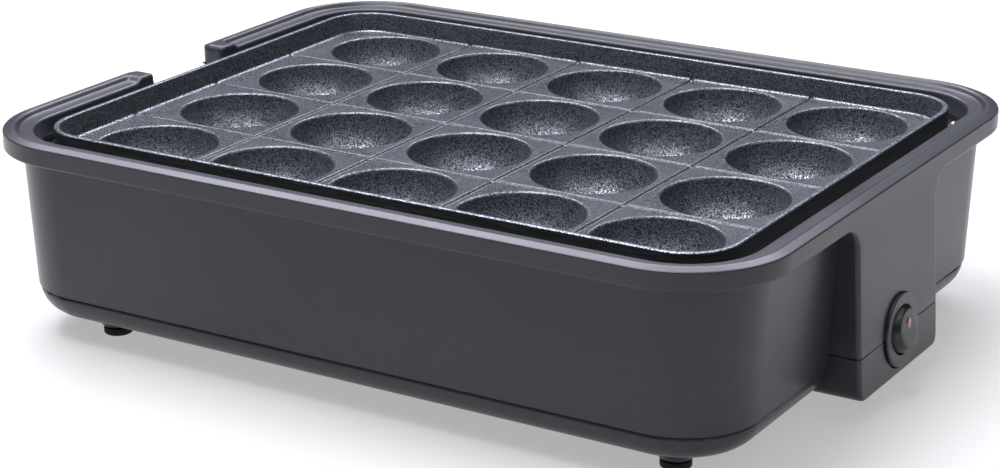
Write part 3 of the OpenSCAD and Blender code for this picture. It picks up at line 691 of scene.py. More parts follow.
class TreeMaker(GroupMaker):
    """Builds one geometry node tree with named inputs, which ends in Realize Instances and Set Material."""

    def __init__(self, name: str, inputs: dict[str, float | int | str]) -> None:
        """Starts the tree.

        Args:
            name: Name of the tree.
            inputs: Named lengths, angles and counts with their defaults.
        """
        super().__init__(name, "GeometryNodeTree", {"Geometry": "NodeSocketGeometry", **inputs,
                                                    "Finish": "NodeSocketMaterial"},
                         {"Geometry": "NodeSocketGeometry"})

    def join(self, *parts: Socket) -> Socket:
        """Joins several geometries and returns the output."""
        made = self.node("GeometryNodeJoinGeometry")
        for part in parts:
            self.tree.links.new(part, made.inputs[0])
        return made.outputs[0]

    def finish(self, geometry: Socket) -> bpy.types.NodeTree:
        """Ends the tree and returns it."""
        real = self.node("GeometryNodeRealizeInstances", {"Geometry": geometry})
        smooth = self.node("GeometryNodeSetShadeSmooth", {"Geometry": real.outputs[0]})
        dressed = self.node("GeometryNodeSetMaterial", {"Geometry": smooth.outputs[0],
                                                        "Material": self.given["Finish"]})
        return self.close({0: dressed.outputs[0]})


def make_tube_tree() -> bpy.types.NodeTree:
    """Builds the tree that sweeps a round tube along each path of edges."""
    make = TreeMaker("tube_on_path", {"Tube Radius": 0.003, "Sides": 20})
    path = make.node("GeometryNodeMeshToCurve", {"Mesh": make.given["Geometry"]})
    ring = make.node("GeometryNodeCurvePrimitiveCircle", {"Resolution": make.given["Sides"],
                                                          "Radius": make.given["Tube Radius"]})
    tube = make.node("GeometryNodeCurveToMesh", {"Curve": path.outputs[0], "Profile Curve": ring.outputs["Curve"],
                                                 "Fill Caps": True})
    return make.finish(tube.outputs[0])


def make_screw_tree() -> bpy.types.NodeTree:
    """Builds the tree that puts a pan-head screw with a cross recess on each point, along its "axis"."""
    make = TreeMaker("screws_on_points", {"Head Radius": 0.0028, "Head Height": 0.0018, "Shank Radius": 0.0014,
                                          "Shank Length": 0.01, "Recess Width": 0.0007, "Sides": 32})
    given = make.given
    ball = make.node("GeometryNodeMeshUVSphere", {"Segments": given["Sides"], "Rings": 16,
                                                  "Radius": given["Head Radius"]})
    where = make.node("GeometryNodeInputPosition")
    parts = make.node("ShaderNodeSeparateXYZ", {0: where.outputs[0]})
    share = make.math("DIVIDE", given["Head Height"], given["Head Radius"])
    height = make.math("MAXIMUM", make.math("MULTIPLY", parts.outputs["Z"], share), 0.0)
    spot = make.node("ShaderNodeCombineXYZ", {"X": parts.outputs["X"], "Y": parts.outputs["Y"], "Z": height})
    dome = make.node("GeometryNodeSetPosition", {"Geometry": ball.outputs["Mesh"], "Position": spot.outputs[0]})
    merged = make.node("GeometryNodeMergeByDistance", {"Geometry": dome.outputs[0], "Distance": 0.00001})
    arm = make.math("MULTIPLY", given["Head Radius"], 1.1)
    deep = make.math("MULTIPLY", given["Head Height"], 1.2)
    bars = []
    for across, along in ((given["Recess Width"], arm), (arm, given["Recess Width"])):
        size = make.node("ShaderNodeCombineXYZ", {"X": across, "Y": along, "Z": deep})
        bar = make.node("GeometryNodeMeshCube", {"Size": size.outputs[0]})
        lift = make.node("ShaderNodeCombineXYZ", {"Z": given["Head Height"]})
        bars.append(make.node("GeometryNodeTransform", {"Geometry": bar.outputs["Mesh"],
                                                        "Translation": lift.outputs[0]}).outputs[0])
    cut = make.node("GeometryNodeMeshBoolean", {"Mesh 1": merged.outputs[0]}, operation="DIFFERENCE")
    for bar in bars:
        make.tree.links.new(bar, cut.inputs["Mesh 2"])
    shank = make.node("GeometryNodeMeshCylinder", {"Vertices": given["Sides"], "Radius": given["Shank Radius"],
                                                   "Depth": given["Shank Length"]})
    drop = make.node("ShaderNodeCombineXYZ", {"Z": make.math("MULTIPLY", given["Shank Length"], -0.5)})
    stem = make.node("GeometryNodeTransform", {"Geometry": shank.outputs["Mesh"], "Translation": drop.outputs[0]})
    axis = make.node("GeometryNodeInputNamedAttribute", {"Name": "axis"}, data_type="FLOAT_VECTOR")
    turn = make.node("FunctionNodeAlignRotationToVector", {"Vector": axis.outputs[0]}, axis="Z")
    placed = make.node("GeometryNodeInstanceOnPoints", {
        "Points": given["Geometry"], "Instance": make.join(cut.outputs[0], stem.outputs[0]),
        "Rotation": turn.outputs[0]})
    return make.finish(placed.outputs[0])


def make_bowl_tree() -> bpy.types.NodeTree:
    """Builds the tree that hangs the cups' outer bowls on a regular grid."""
    make = TreeMaker("bowls_on_grid", {"Pitch X": 0.048, "Pitch Y": 0.046, "Bowl Radius": 0.0236,
                                       "Bowl Sweep": 1.37, "Centre X": 0.0, "Centre Z": 0.0665,
                                       "Columns": 5, "Rows": 4, "Turns": 48, "Rings": 16})
    given = make.given
    sheet = make.node("GeometryNodeMeshGrid", {"Size X": 1.0, "Size Y": 1.0, "Vertices X": given["Turns"],
                                               "Vertices Y": given["Rings"]})
    where = make.node("GeometryNodeInputPosition")
    parts = make.node("ShaderNodeSeparateXYZ", {0: where.outputs[0]})
    around = make.math("MULTIPLY", make.math("ADD", parts.outputs["X"], 0.5), 2 * math.pi)
    rise = make.math("MULTIPLY", make.math("ADD", parts.outputs["Y"], 0.5), given["Bowl Sweep"])
    reach = make.math("MULTIPLY", given["Bowl Radius"], make.math("SINE", rise))
    depth = make.math("MULTIPLY", given["Bowl Radius"], make.math("COSINE", rise))
    spot = make.node("ShaderNodeCombineXYZ", {"X": make.math("MULTIPLY", reach, make.math("COSINE", around)),
                                              "Y": make.math("MULTIPLY", reach, make.math("SINE", around)),
                                              "Z": make.math("MULTIPLY", depth, -1.0)})
    bowl = make.node("GeometryNodeSetPosition", {"Geometry": sheet.outputs["Mesh"], "Position": spot.outputs[0]})
    sewn = make.node("GeometryNodeMergeByDistance", {"Geometry": bowl.outputs[0], "Distance": 0.00001})
    size_x = make.math("MULTIPLY", given["Pitch X"], make.math("SUBTRACT", given["Columns"], 1.0))
    size_y = make.math("MULTIPLY", given["Pitch Y"], make.math("SUBTRACT", given["Rows"], 1.0))
    grid = make.node("GeometryNodeMeshGrid", {"Size X": size_x, "Size Y": size_y, "Vertices X": given["Columns"],
                                              "Vertices Y": given["Rows"]})
    middle = make.node("ShaderNodeCombineXYZ", {"X": given["Centre X"], "Z": given["Centre Z"]})
    moved = make.node("GeometryNodeTransform", {"Geometry": grid.outputs["Mesh"],
                                                "Translation": middle.outputs[0]})
    placed = make.node("GeometryNodeInstanceOnPoints", {"Points": moved.outputs[0], "Instance": sewn.outputs[0]})
    return make.finish(placed.outputs[0])


@dataclass
class NodeTrees:
    """The geometry node trees that the pieces share, each built once."""

    tube: bpy.types.NodeTree = field(default_factory=make_tube_tree)
    screw: bpy.types.NodeTree = field(default_factory=make_screw_tree)
    bowls: bpy.types.NodeTree = field(default_factory=make_bowl_tree)


# ------------------------------------------------------------------ the cooker's pieces


@dataclass
class Workshop:
    """What every sub-assembly needs: the frame, the finishes and where the rim's middle lies."""

    frame: dict
    wardrobe: Wardrobe
    middle_x: float
    trees: NodeTrees = field(default_factory=NodeTrees)

    def grow(self, name: str, tree: bpy.types.NodeTree, points: Sequence[Point], edges: Sequence[tuple[int, int]],
             finish: Finish, values: dict[str, float], axis: Point | None = None,
             sharp: float = 35.0) -> bpy.types.Object:
        """Runs a geometry node tree on points and edges and keeps its result as a plain mesh.

        Args:
            name: Name of the piece.
            tree: The tree.
            points: The points, in millimetres about the rim's middle.
            edges: Pairs of point numbers.
            finish: The piece's finish.
            values: The tree's named inputs, lengths in metres.
            axis: Direction kept on each point as its "axis".
            sharp: Angle in degrees over which an edge stays sharp.

        Returns:
            The new object, at the origin and without modifiers.
        """
        mesh = bpy.data.meshes.new(name)
        mesh.from_pydata([((x + self.middle_x) * MM, y * MM, z * MM) for x, y, z in points], list(edges), [])
        if axis is not None:
            layer = mesh.attributes.new("axis", "FLOAT_VECTOR", "POINT")
            layer.data.foreach_set("vector", list(axis) * len(points))
        obj = add_object(name, mesh)
        mod = obj.modifiers.new(tree.name, "NODES")
        mod.node_group = tree
        names = {item.name: item.identifier for item in tree.interface.items_tree
                 if item.item_type == "SOCKET" and item.in_out == "INPUT"}
        for key, val in values.items():
            mod[names[key]] = val
        mod[names["Finish"]] = self.wardrobe.get(finish)
        flatten(obj)
        tidy(obj.data, sharp)
        return obj

    def shell(self) -> Shell:
        """Returns an empty piece about the rim's middle."""
        return Shell(self.middle_x)

    def settle(self, obj: bpy.types.Object, finish: Finish, body: str, slot: str,
               *nodes: str) -> bpy.types.Object:
        """Dresses a finished piece, puts it on its body and lets it stand for CAD nodes.

        Args:
            obj: The piece.
            finish: Its finish.
            body: The CAD body that it rides on.
            slot: The record's material slot; not used.
            *nodes: The CAD nodes that it replaces.

        Returns:
            The same piece.
        """
        self.wardrobe.dress(obj, finish)
        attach(obj, body)
        if nodes:
            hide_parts(*nodes)
        log.info("%s: %d faces on %s", obj.name, len(obj.data.polygons), body)
        return obj


WHOLE = 99.0
"""A height or a distance beyond the whole rim, for a section that is not cut or rounded."""


@dataclass(frozen=True)
class RimState:
    """How the rim's section is changed at one place.

    Attributes:
        y: The place along the left side.
        fill: How far the groove beside the ridge is filled, 0 to 1.
        solid: How far the hollow under the rim is filled, 0 to 1.
        tip: Distance to the end of the rim, for the rounding there.
        cut: Height that the rim is cut down to.
    """

    y: float = 0.0
    fill: float = 0.0
    solid: float = 0.0
    tip: float = WHOLE
    cut: float = WHOLE


@dataclass
class Body:
    """The moulded housing: rolled rim, drafted wall and the upper part of the control box."""

    half_x: float = 145.1
    half_y: float = 113.1
    corner: float = 35.0
    rim_z: float = 73.0
    skirt_z: float = 65.9
    web_z: float = 69.6
    ledge_z: float = 71.4
    inner_z: float = 64.9
    rim_w: float = 10.6
    overhang: float = 6.4
    wall: float = 2.5
    draft: float = 2.7
    seam_z: float = 17.3
    notch: tuple[float, float] = (-22.0, 17.5)
    notch_z: float = 63.4
    block: float = 9.0
    box_half: float = 31.0
    box_edge: float = 1.6
    flare: float = 3.1
    arch_r: float = 8.0
    part_z: float = 22.6
    patch_top: float = 71.0
    skirt_edge: float = 0.9
    crown_in: float = 3.4
    tip_side: float = 4.0
    tip_top: float = 2.2
    ledge_in: float = 9.0
    hollow: tuple[float, float] = (0.95, 6.5)

    def body_in(self, z: float) -> float:
        """Returns how far the wall's outer face lies inside the rim at a height."""
        return self.overhang + (self.skirt_z - z) * math.tan(math.radians(self.draft))

    def wall_in(self, z: float) -> float:
        """Returns how far the wall's inner face lies inside the rim at a height."""
        return self.body_in(z) + self.wall

    def face_x(self, z: float) -> float:
        """Returns the control box's end face at a height, its bend eased near the skirt."""
        drop = self.skirt_z - z
        lean = math.tan(math.radians(self.flare))
        ease = 3.0
        if drop < -ease:
            return self.half_x
        if drop < ease:
            return self.half_x + lean * (drop + ease) ** 2 / (4 * ease)
        return self.half_x + lean * drop

    def panel(self) -> Matrix:
        """Returns the frame on the control box's face at the switch, its Z axis pointing out of the face."""
        flare = math.radians(self.flare)
        out = Vector((math.cos(flare), 0.0, math.sin(flare)))
        side = Vector((0.0, 1.0, 0.0))
        turn = Matrix((side, out.cross(side), out)).transposed().to_4x4()
        return Matrix.Translation((self.face_x(self.part_z), 0.0, self.part_z)) @ turn

    def profile(self) -> Profile:
        """Returns the wall and rim as a closed section of (inset, height) points."""
        web_r, edge_r, crown_r, fall = 1.2, 0.6, 1.6, 14.0
        wall_top = self.web_z - web_r
        seam_in = self.body_in(self.seam_z)
        out: Profile = [(seam_in + 0.3, self.seam_z), (seam_in, self.seam_z + 0.3),
                        (self.body_in(40.0), 40.0), (self.body_in(self.notch_z - 0.4), self.notch_z - 0.4)]
        out += arc(self.body_in(wall_top) - web_r, wall_top, web_r, 0, 90, 4)
        out += arc(2.8, self.web_z - 0.8, 0.8, 90, 180, 3)
        out += arc(1.4, self.skirt_z + 0.6, 0.6, 0, -90, 3)
        out += arc(self.skirt_edge, self.skirt_z + self.skirt_edge, self.skirt_edge, 270, 180, 5)
        crown = arc(self.crown_in, self.rim_z - crown_r, crown_r, 90 + fall, 38, 7)
        turn = math.radians(90 + fall)
        run = crown[0][0] - edge_r * (1 + math.cos(turn))
        edge_z = crown[0][1] - run * math.tan(math.radians(fall)) - edge_r * math.sin(turn)
        out += [(0.0, self.patch_top)]
        out += arc(edge_r, edge_z, edge_r, 180, 90 + fall, 5)
        out += crown
        out += arc(6.016, self.ledge_z + 1.2, 1.2, 218, 270, 5)
        out += arc(self.rim_w - 1.1, self.ledge_z - 1.1, 1.1, 90, 0, 5)
        out += arc(self.rim_w - 0.5, self.inner_z + 0.5, 0.5, 0, -90, 3)
        out += [(self.wall_in(self.inner_z), self.inner_z), (self.wall_in(self.notch_z), self.notch_z),
                (self.wall_in(40.0), 40.0), (self.wall_in(self.seam_z), self.seam_z)]
        return out

    def section(self, base: Profile, state: RimState) -> Profile:
        """Changes the section near the gap in the rim and near the control box.

        Args:
            base: The plain section.
            state: The changes.

        Returns:
            The changed section, with as many points.
        """
        rise = self.rim_z - self.ledge_z
        groove_z = self.ledge_z - 1.2
        shrink = rounding(self.tip_side, state.tip)
        sink = rounding(self.tip_top, state.tip)
        out: Profile = []
        for i, z in base:
            if self.crown_in + 0.01 < i < self.ledge_in and z > groove_z:
                z = lerp(z, self.rim_z, state.fill)
            elif i >= self.ledge_in and z > groove_z:
                z += rise * state.fill
            if state.solid and self.hollow[0] < i < self.hollow[1] and self.notch_z < z < self.web_z + 0.01:
                z = lerp(z, self.skirt_z, state.solid)
            if z > self.skirt_z + 0.05 and state.tip < self.tip_side:
                share = 1 - 2 * i / self.rim_w
                i += (shrink if share > 0 else sink) * share
                z -= sink * (z - self.skirt_z) / (self.rim_z - self.skirt_z)
            if z > state.cut:
                i, z = min(max(i, self.body_in(state.cut)), self.wall_in(state.cut)), state.cut
            out.append((i, z))
        return out

    def end_block(self, y: float, away: float) -> list[RimState]:
        """Returns the changes from the plain rim to the end of the rim at y.

        Args:
            y: The end of the rim.
            away: 1 where the rim lies behind its end, -1 where it lies before it.
        """
        def filled(d: float) -> float:
            return 1 - smooth_step(7.0, 10.2, d)
        start = self.block - 0.01
        out = [RimState(y + away * d, filled(d)) for d in (10.5, 9.8, self.block)]
        out.append(RimState(y + away * start, filled(self.block), 1.0))
        out += [RimState(y + away * d, filled(d), 1.0) for d in (8.4, 7.7, 7.0)]
        out += [RimState(y + away * d, 1.0, 1.0, d) for d in (4.0, 3.2, 2.5, 1.9, 1.4, 0.9, 0.5, 0.2, 0.0)]
        return out

    def left_states(self) -> list[RimState]:
        """Returns the changes along the left side, from back to front."""
        front, back = self.notch
        gap = [RimState(back, 1.0, 1.0, cut=self.skirt_z)]
        gap += [RimState(y, 1.0, 1.0, cut=self.notch_z) for y in (back, 10.0, -2.0, -12.0, front)]
        gap += [RimState(front, 1.0, 1.0, cut=self.skirt_z)]
        return [*(RimState(y) for y in (62.0, 46.0, 36.0)), *self.end_block(back, 1.0), *gap,
                *reversed(self.end_block(front, -1.0)), *(RimState(y) for y in (-40.0, -52.0, -66.0))]

    def build(self, shop: Workshop) -> None:
        """Builds the housing and puts it in place of its CAD node."""
        shell = shop.shell()
        arch_y = self.box_half + self.arch_r
        steps = 10
        tops = [arch_y * k / steps for k in range(-steps, steps + 1)]
        right = [-66.0, -52.0, -arch_y - 0.01, *tops, arch_y + 0.01, 52.0, 66.0]
        left = self.left_states()
        outline = RoundedOutline(self.half_x, self.half_y, self.corner, 18)
        long_side = (-60.0, -20.0, 20.0, 60.0)
        stations = outline.walk(right, long_side[::-1], [state.y for state in left], long_side)
        base = self.profile()
        first_left = next(k for k, s in enumerate(stations) if s.nx == -1) + 1
        rows = []
        for k, station in enumerate(stations):
            state = RimState()
            if first_left <= k < first_left + len(left):
                state = left[k - first_left]
            elif station.nx == 1 and abs(station.y) <= arch_y + 1e-6:
                state = RimState(solid=1.0)
            rows.append([station.at(i, z) for i, z in self.section(base, state)])
        low = next(j for j, p in enumerate(base) if p[0] < self.overhang and p[1] > 60)
        high = next(j for j, p in enumerate(base) if p == (0.0, self.patch_top))

        def hidden(row: int, column: int) -> bool:
            a, b = stations[row], stations[(row + 1) % len(stations)]
            inside = a.nx == 1 and b.nx == 1 and max(abs(a.y), abs(b.y)) <= arch_y + 1e-6
            return inside and low + 1 <= column < high
        shell.net(rows, around=True, along=True, skip=hidden)
        self._box(shell, steps)
        obj = shell.make("housing_moulding", 38)
        weigh_normals(obj)
        shop.settle(obj, Finish.CASE, "base", "case", "housing")

    def _box(self, shell: Shell, steps: int) -> None:
        """Adds the control box's skin: its face, sides, arches and lower lip.

        Args:
            shell: The housing's shell.
            steps: Number of stretches of each arch.
        """
        arch_y = self.box_half + self.arch_r
        top = self.skirt_z - self.arch_r
        drops, round_steps, face_steps, lip_rise = 8, 5, 6, 8.0
        edge: list[tuple[float, float, float, tuple[float, float]]] = []
        for k in range(steps + 1):
            a = math.radians(90 - 90 * k / steps)
            radius = lerp(self.skirt_edge, self.box_edge, smooth_step(0.1, 0.95, k / steps))
            edge.append((arch_y - self.arch_r * math.cos(a), top + self.arch_r * math.sin(a), radius,
                         (-math.cos(a), math.sin(a))))
        edge += [(self.box_half, lerp(top, self.part_z, k / drops), self.box_edge, (-1.0, 0.0))
                 for k in range(1, drops + 1)]
        for side in (-1, 1):
            rows: list[list[Point]] = []
            for n, (y, z, r, inward) in enumerate(edge):
                row: list[Point] = [(self.half_x - self.body_in(z) - 0.6, side * y, z)]
                for k in range(round_steps + 1):
                    a = math.radians(90 * k / round_steps)
                    d, depth = r * (1 - math.cos(a)), r * (1 - math.sin(a))
                    yy, zz = y + inward[0] * d, z + inward[1] * d
                    row.append((self.face_x(zz) - depth, side * yy, zz))
                if n <= steps:
                    target = (arch_y * (1 - n / steps), self.patch_top)
                else:
                    target = (0.0, lerp(self.patch_top, self.part_z, (n - steps) / drops))
                fy, fz = row[-1][1] * side, row[-1][2]
                for k in range(1, face_steps + 1):
                    yy, zz = lerp(fy, target[0], k / face_steps), lerp(fz, target[1], k / face_steps)
                    row.append((self.face_x(zz), side * yy, zz))
                rows.append(row)
            shell.net(rows)
            lip = [(min(x, self.face_x(z) - self.wall), side * min(abs(y), self.box_half - self.wall), z)
                   for x, y, z in rows[-1]]
            shell.net([rows[-1], lip, [(x, y, z + lip_rise) for x, y, z in lip]])


@dataclass
class ControlCover:
    """The lower part of the control box, in the base's colour."""

    body: Body
    base_z: float = 7.4
    gap: float = 0.35
    foot_r: float = 4.5
    toe_r: float = 1.4
    back_x: float = 128.0
    recess_r: float = 12.8
    recess_depth: float = 1.6
    sharp: float = 38.0

    def outline(self, z: float, inset: float) -> list[Point]:
        """Returns the cover's edge at a height, from the front side round to the back side."""
        lift = z - self.base_z
        half = self.body.box_half - rounding(self.foot_r, lift) - inset
        r = max(self.body.box_edge - inset * 0.8, 0.6)
        x = self.body.face_x(z) - rounding(self.toe_r, lift) - inset
        points: list[Point] = [(self.back_x, -half, z), (lerp(self.back_x, x - r, 0.5), -half, z)]
        points += [(px, py, z) for px, py in arc(x - r, -half + r, r, -90, 0, 6)]
        points += [(x, lerp(-half + r, half - r, k / 6), z) for k in range(1, 6)]
        points += [(px, py, z) for px, py in arc(x - r, half - r, r, 0, 90, 6)]
        points += [(lerp(x - r, self.back_x, 0.5), half, z), (self.back_x, half, z)]
        return points

    def build(self, shop: Workshop) -> None:
        """Builds the cover and puts it in place of its CAD node."""
        shell = shop.shell()
        top = self.body.part_z - self.gap
        levels = [self.base_z + d for d in (0.0, 0.12, 0.4, 0.8, 1.4, 2.2, 3.2, 4.5, 8.0)]
        rows = [self.outline(z, 0.0) for z in levels]
        rows += [self.outline(top - 0.25, 0.0), self.outline(top, 0.2)]
        rows += [self.outline(top, self.body.wall), self.outline(self.base_z + self.body.wall, self.body.wall)]
        ids = shell.net(rows)
        shell.face(*reversed(ids[0]))
        shell.face(*ids[-1])
        obj = shell.make("control_cover_moulding", self.sharp)
        self._recess(shop, obj)
        weigh_normals(obj)
        shop.settle(obj, Finish.CASE, "base", "case", "control_cover")

    def _recess(self, shop: Workshop, obj: bpy.types.Object) -> None:
        """Cuts the shallow round recess that the switch's ring sits in, a little wider than the ring.

        Args:
            shop: The workshop.
            obj: The cover, whose mesh is changed.
        """
        shell = shop.shell()
        r, depth, above = self.recess_r, self.recess_depth, 3.0
        shell.lathe([(0.0, -depth), (r, -depth), (r, above), (0.0, above)], self.body.panel(), 96)
        cutter = shell.make("recess_cutter")
        cut = obj.modifiers.new("ring_recess", "BOOLEAN")
        cut.operation = "DIFFERENCE"
        cut.solver = "EXACT"
        cut.object = cutter
        flatten(obj)
        bpy.data.objects.remove(cutter)
        obj.data.shade_smooth()
        obj.data.set_sharp_from_angle(angle=math.radians(self.sharp))


def cell_point(side: int, t: float, reach: tuple[float, float, float, float]) -> tuple[float, float]:
    """Returns a point on the edge of a cell.

    Args:
        side: 0 to 3 for the right, back, left and front side.
        t: Share of the way along the side, anticlockwise.
        reach: How far the cell reaches right, back, left and front.
    """
    right, back, left, front = reach
    return ((right, lerp(-front, back, t)), (lerp(right, -left, t), back),
            (-left, lerp(back, -front, t)), (lerp(-left, right, t), -front))[side]


@dataclass
class CookingPlate:
    """The loose cast plate: cups with eased lips, score lines, wall and legs."""

    cols: int = 5
    rows: int = 4
    pitch_x: float = 48.0
    pitch_y: float = 46.3
    cup_r: float = 20.8
    cup_rise: float = 1.5
    cup_t: float = 2.8
    half_x: float = 128.4
    half_y: float = 95.8
    corner: float = 18.0
    deck_z: float = 65.0
    deck_t: float = 3.2
    wall_h: float = 7.0
    ring_in: float = 4.9
    score: tuple[tuple[float, float], ...] = (
        (1.27, 0.0), (1.01, 0.045), (0.79, 0.175), (0.62, 0.375), (0.486, 0.535), (0.306, 0.64), (0.1, 0.675),
        (0.0, 0.675))
    lip_r: float = 1.0
    per_side: int = 18
    leg: float = 4.0
    leg_foot_z: float = 37.0
    leg_in: float = 9.8
    # Painted shade on the coat: how far the deck, the cups' upper walls and their lips are darkened towards the
    # cast colour.
    deck_painted_shade: float = 0.6
    cup_painted_shade: float = 0.5
    lip_painted_shade: float = 0.3

    def __post_init__(self) -> None:
        """Works out the heights and radii that several parts of the plate share."""
        self.under = self.deck_z - self.deck_t
        self.cup_z = self.deck_z + self.cup_rise
        self.shell_r = self.cup_r + self.cup_t

    def centre(self, col: int, row: int) -> tuple[float, float]:
        """Returns the middle of one cup."""
        return ((col - (self.cols - 1) / 2) * self.pitch_x, (row - (self.rows - 1) / 2) * self.pitch_y)

    def reach(self, col: int, row: int, level: int) -> tuple[float, float, float, float]:
        """Returns how far a cell reaches right, back, left and front of its cup at a score level."""
        cx, cy = self.centre(col, row)
        inner = self.score[level][0]
        ring_x, ring_y = self.half_x - self.ring_in, self.half_y - self.ring_in
        right = ring_x - cx if col == self.cols - 1 else self.pitch_x / 2 - inner
        back = ring_y - cy if row == self.rows - 1 else self.pitch_y / 2 - inner
        left = ring_x + cx if col == 0 else self.pitch_x / 2 - inner
        front = ring_y + cy if row == 0 else self.pitch_y / 2 - inner
        return right, back, left, front

    def border(self, col: int, row: int, level: int) -> list[tuple[float, float, bool]]:
        """Returns a cell's edge in the rim's frame, with a flag on what lies on the wall's foot."""
        cx, cy = self.centre(col, row)
        outer = (col == self.cols - 1, row == self.rows - 1, col == 0, row == 0)
        sunk, flat = self.reach(col, row, level), self.reach(col, row, 0)
        out = []
        for side in range(4):
            for k in range(self.per_side):
                dx, dy = cell_point(side, k / self.per_side, flat if outer[side] and k else sunk)
                x, y = self._rounded(cx + dx, cy + dy)
                out.append((x, y, outer[side] or (outer[side - 1] and k == 0)))
        return out

    def _rounded(self, x: float, y: float) -> tuple[float, float]:
        """Moves a point beyond the round corner's ends onto the corner."""
        r = self.corner - self.ring_in
        ax, ay = self.half_x - self.corner, self.half_y - self.corner
        dx, dy = abs(x) - ax, abs(y) - ay
        if dx <= 1e-6 or dy <= 1e-6:
            return x, y
        if max(dx - r, dy - r) < -1e-4:
            return x, y
        scale = r / math.hypot(dx, dy)
        return math.copysign(ax + dx * scale, x), math.copysign(ay + dy * scale, y)

    def build(self, shop: Workshop) -> None:
        """Builds the plate and puts it in place of its CAD node."""
        shell = shop.shell()
        edge_angle = -math.degrees(math.asin(self.cup_rise / self.cup_r)) - 2.2
        bowl = arc(0.0, self.cup_z, self.cup_r, -90, edge_angle, 14)
        lip = arc(bowl[-1][0] + self.lip_r, self.deck_z - self.lip_r, self.lip_r, 176, 90, 6)
        # Painted shade: the cups' upper walls, lips and the deck get a value that darkens the coat and calms its
        # flakes.
        painted_shade = [self.cup_painted_shade * smooth_step(self.deck_z - 13.0, self.deck_z - 2.0, z) for _, z in bowl]
        painted_shade += [self.lip_painted_shade] * (len(lip) - 1)

        def painted_shade_at(_row: int, column: int) -> float:
            return painted_shade[column] if column < len(painted_shade) else self.deck_painted_shade
        ring: dict[tuple[float, float], float] = {}
        for col in range(self.cols):
            for row in range(self.rows):
                shell.net(self._cell(col, row, bowl + lip, ring), around=True, value=painted_shade_at)
        self._wall(shell, ring)
        self._underside(shell)
        obj = shell.make("cast_plate", 40, attribute="side", outward=False)
        weigh_normals(obj)
        shop.settle(obj, Finish.PLATE, "plate", "plate", "cooking_plate")
        self._bowls(shop)

    def _cell(self, col: int, row: int, cup: Profile, ring: dict[tuple[float, float], float]) -> list[list[Point]]:
        """Returns the spokes of one cup and the deck round it, out to the middle of the score lines.

        Args:
            col: The cup's column.
            row: The cup's row.
            cup: The cup's section, from its middle to the top of its lip.
            ring: Depths below the deck on the wall's foot, by place; this cell's are added.
        """
        cx, cy = self.centre(col, row)
        levels = [self.border(col, row, level) for level in range(len(self.score))]
        spokes = []
        for k, (x, y, _) in enumerate(levels[0]):
            ux, uy = outwards(x - cx, y - cy)
            spoke = [(cx + ux * r, cy + uy * r, z) for r, z in cup]
            lip_x, lip_y, _ = spoke[-1]
            spoke += [(lerp(lip_x, x, t), lerp(lip_y, y, t), self.deck_z) for t in (0.33, 0.66)]
            spoke.append((x, y, self.deck_z))
            for level, (_, depth) in enumerate(self.score[1:], 1):
                lx, ly, on_ring = levels[level][k]
                flat = on_ring and (k % self.per_side or (lx, ly) == (x, y))
                spoke.append((lx, ly, self.deck_z - (0.0 if flat else depth)))
            spokes.append(spoke)
            for level, point in enumerate(spoke[-len(self.score):]):
                if levels[level][k][2]:
                    ring.setdefault((round(point[0], 4), round(point[1], 4)), self.deck_z - point[2])
        return spokes

    def _bowls(self, shop: Workshop) -> None:
        """Hangs the cups' outer bowls under the plate with the grid tree."""
        sweep = math.acos((self.cup_z - self.under) / self.shell_r) + 0.008
        values = {"Pitch X": self.pitch_x * MM, "Pitch Y": self.pitch_y * MM, "Bowl Radius": self.shell_r * MM,
                  "Bowl Sweep": sweep, "Centre X": shop.middle_x * MM, "Centre Z": self.cup_z * MM,
                  "Columns": self.cols, "Rows": self.rows, "Turns": 49, "Rings": 17}
        bowls = shop.grow("cup_bowls", shop.trees.bowls, [(0.0, 0.0, self.cup_z)], [], Finish.CAST, values)
        shop.settle(bowls, Finish.CAST, "plate", "plate")

    def _wall(self, shell: Shell, ring: dict[tuple[float, float], float]) -> None:
        """Adds the wall round the deck, with the score lines' ends cut into its foot."""
        ax, ay = self.half_x - self.corner, self.half_y - self.corner
        top = self.deck_z + self.wall_h
        profile = [(4.9, 65.0), (4.5, 65.07), (4.15, 65.28), (3.92, 65.62), (3.76, 66.1), (3.3, 67.8), (2.2, 71.3),
                   (2.08, 71.66), (1.82, 71.9), (1.45, 72.0), (0.75, 72.0), (0.4, 71.93), (0.12, 71.72),
                   (0.0, 71.4), (0.0, 68.0), (0.0, 62.5), (0.16, 62.05), (0.6, 61.8), (6.0, 61.8)]
        stations = []
        for (x, y), depth in ring.items():
            dx, dy = abs(x) - ax, abs(y) - ay
            if min(dx, dy) <= 1e-4:
                dx, dy = (0.0, 1.0) if dy > dx else (1.0, 0.0)
            nx, ny = outwards(math.copysign(dx, x), math.copysign(dy, y))
            stations.append((math.atan2(y, x), x, y, nx, ny, depth))
        stations.sort()
        rows = []
        for _, x, y, nx, ny, depth in stations:
            row = []
            for i, z in profile:
                out = self.ring_in - i
                share = (1 - min((z - self.deck_z) / 2.3, 1.0)) if z >= self.deck_z and i > 3 else 0.0
                push = 0.55 * depth / self.score[-1][1] * share if i < self.ring_in - 0.1 else 0.0
                row.append((x + nx * (out + push), y + ny * (out + push), z - depth * share))
            rows.append(row)
        # 1 on the outer cast wall and below the deck; 0.7 on the wall's inner face, which is painted shade.
        cast_and_shade = [1.0 if i < 0.3 and z < top - 0.5 or z < 62.5 else 0.7 if i > 1.9 and z > 65.5 else 0.0
                   for i, z in profile]
        shell.net(rows, around=True, value=lambda _row, column: cast_and_shade[column])

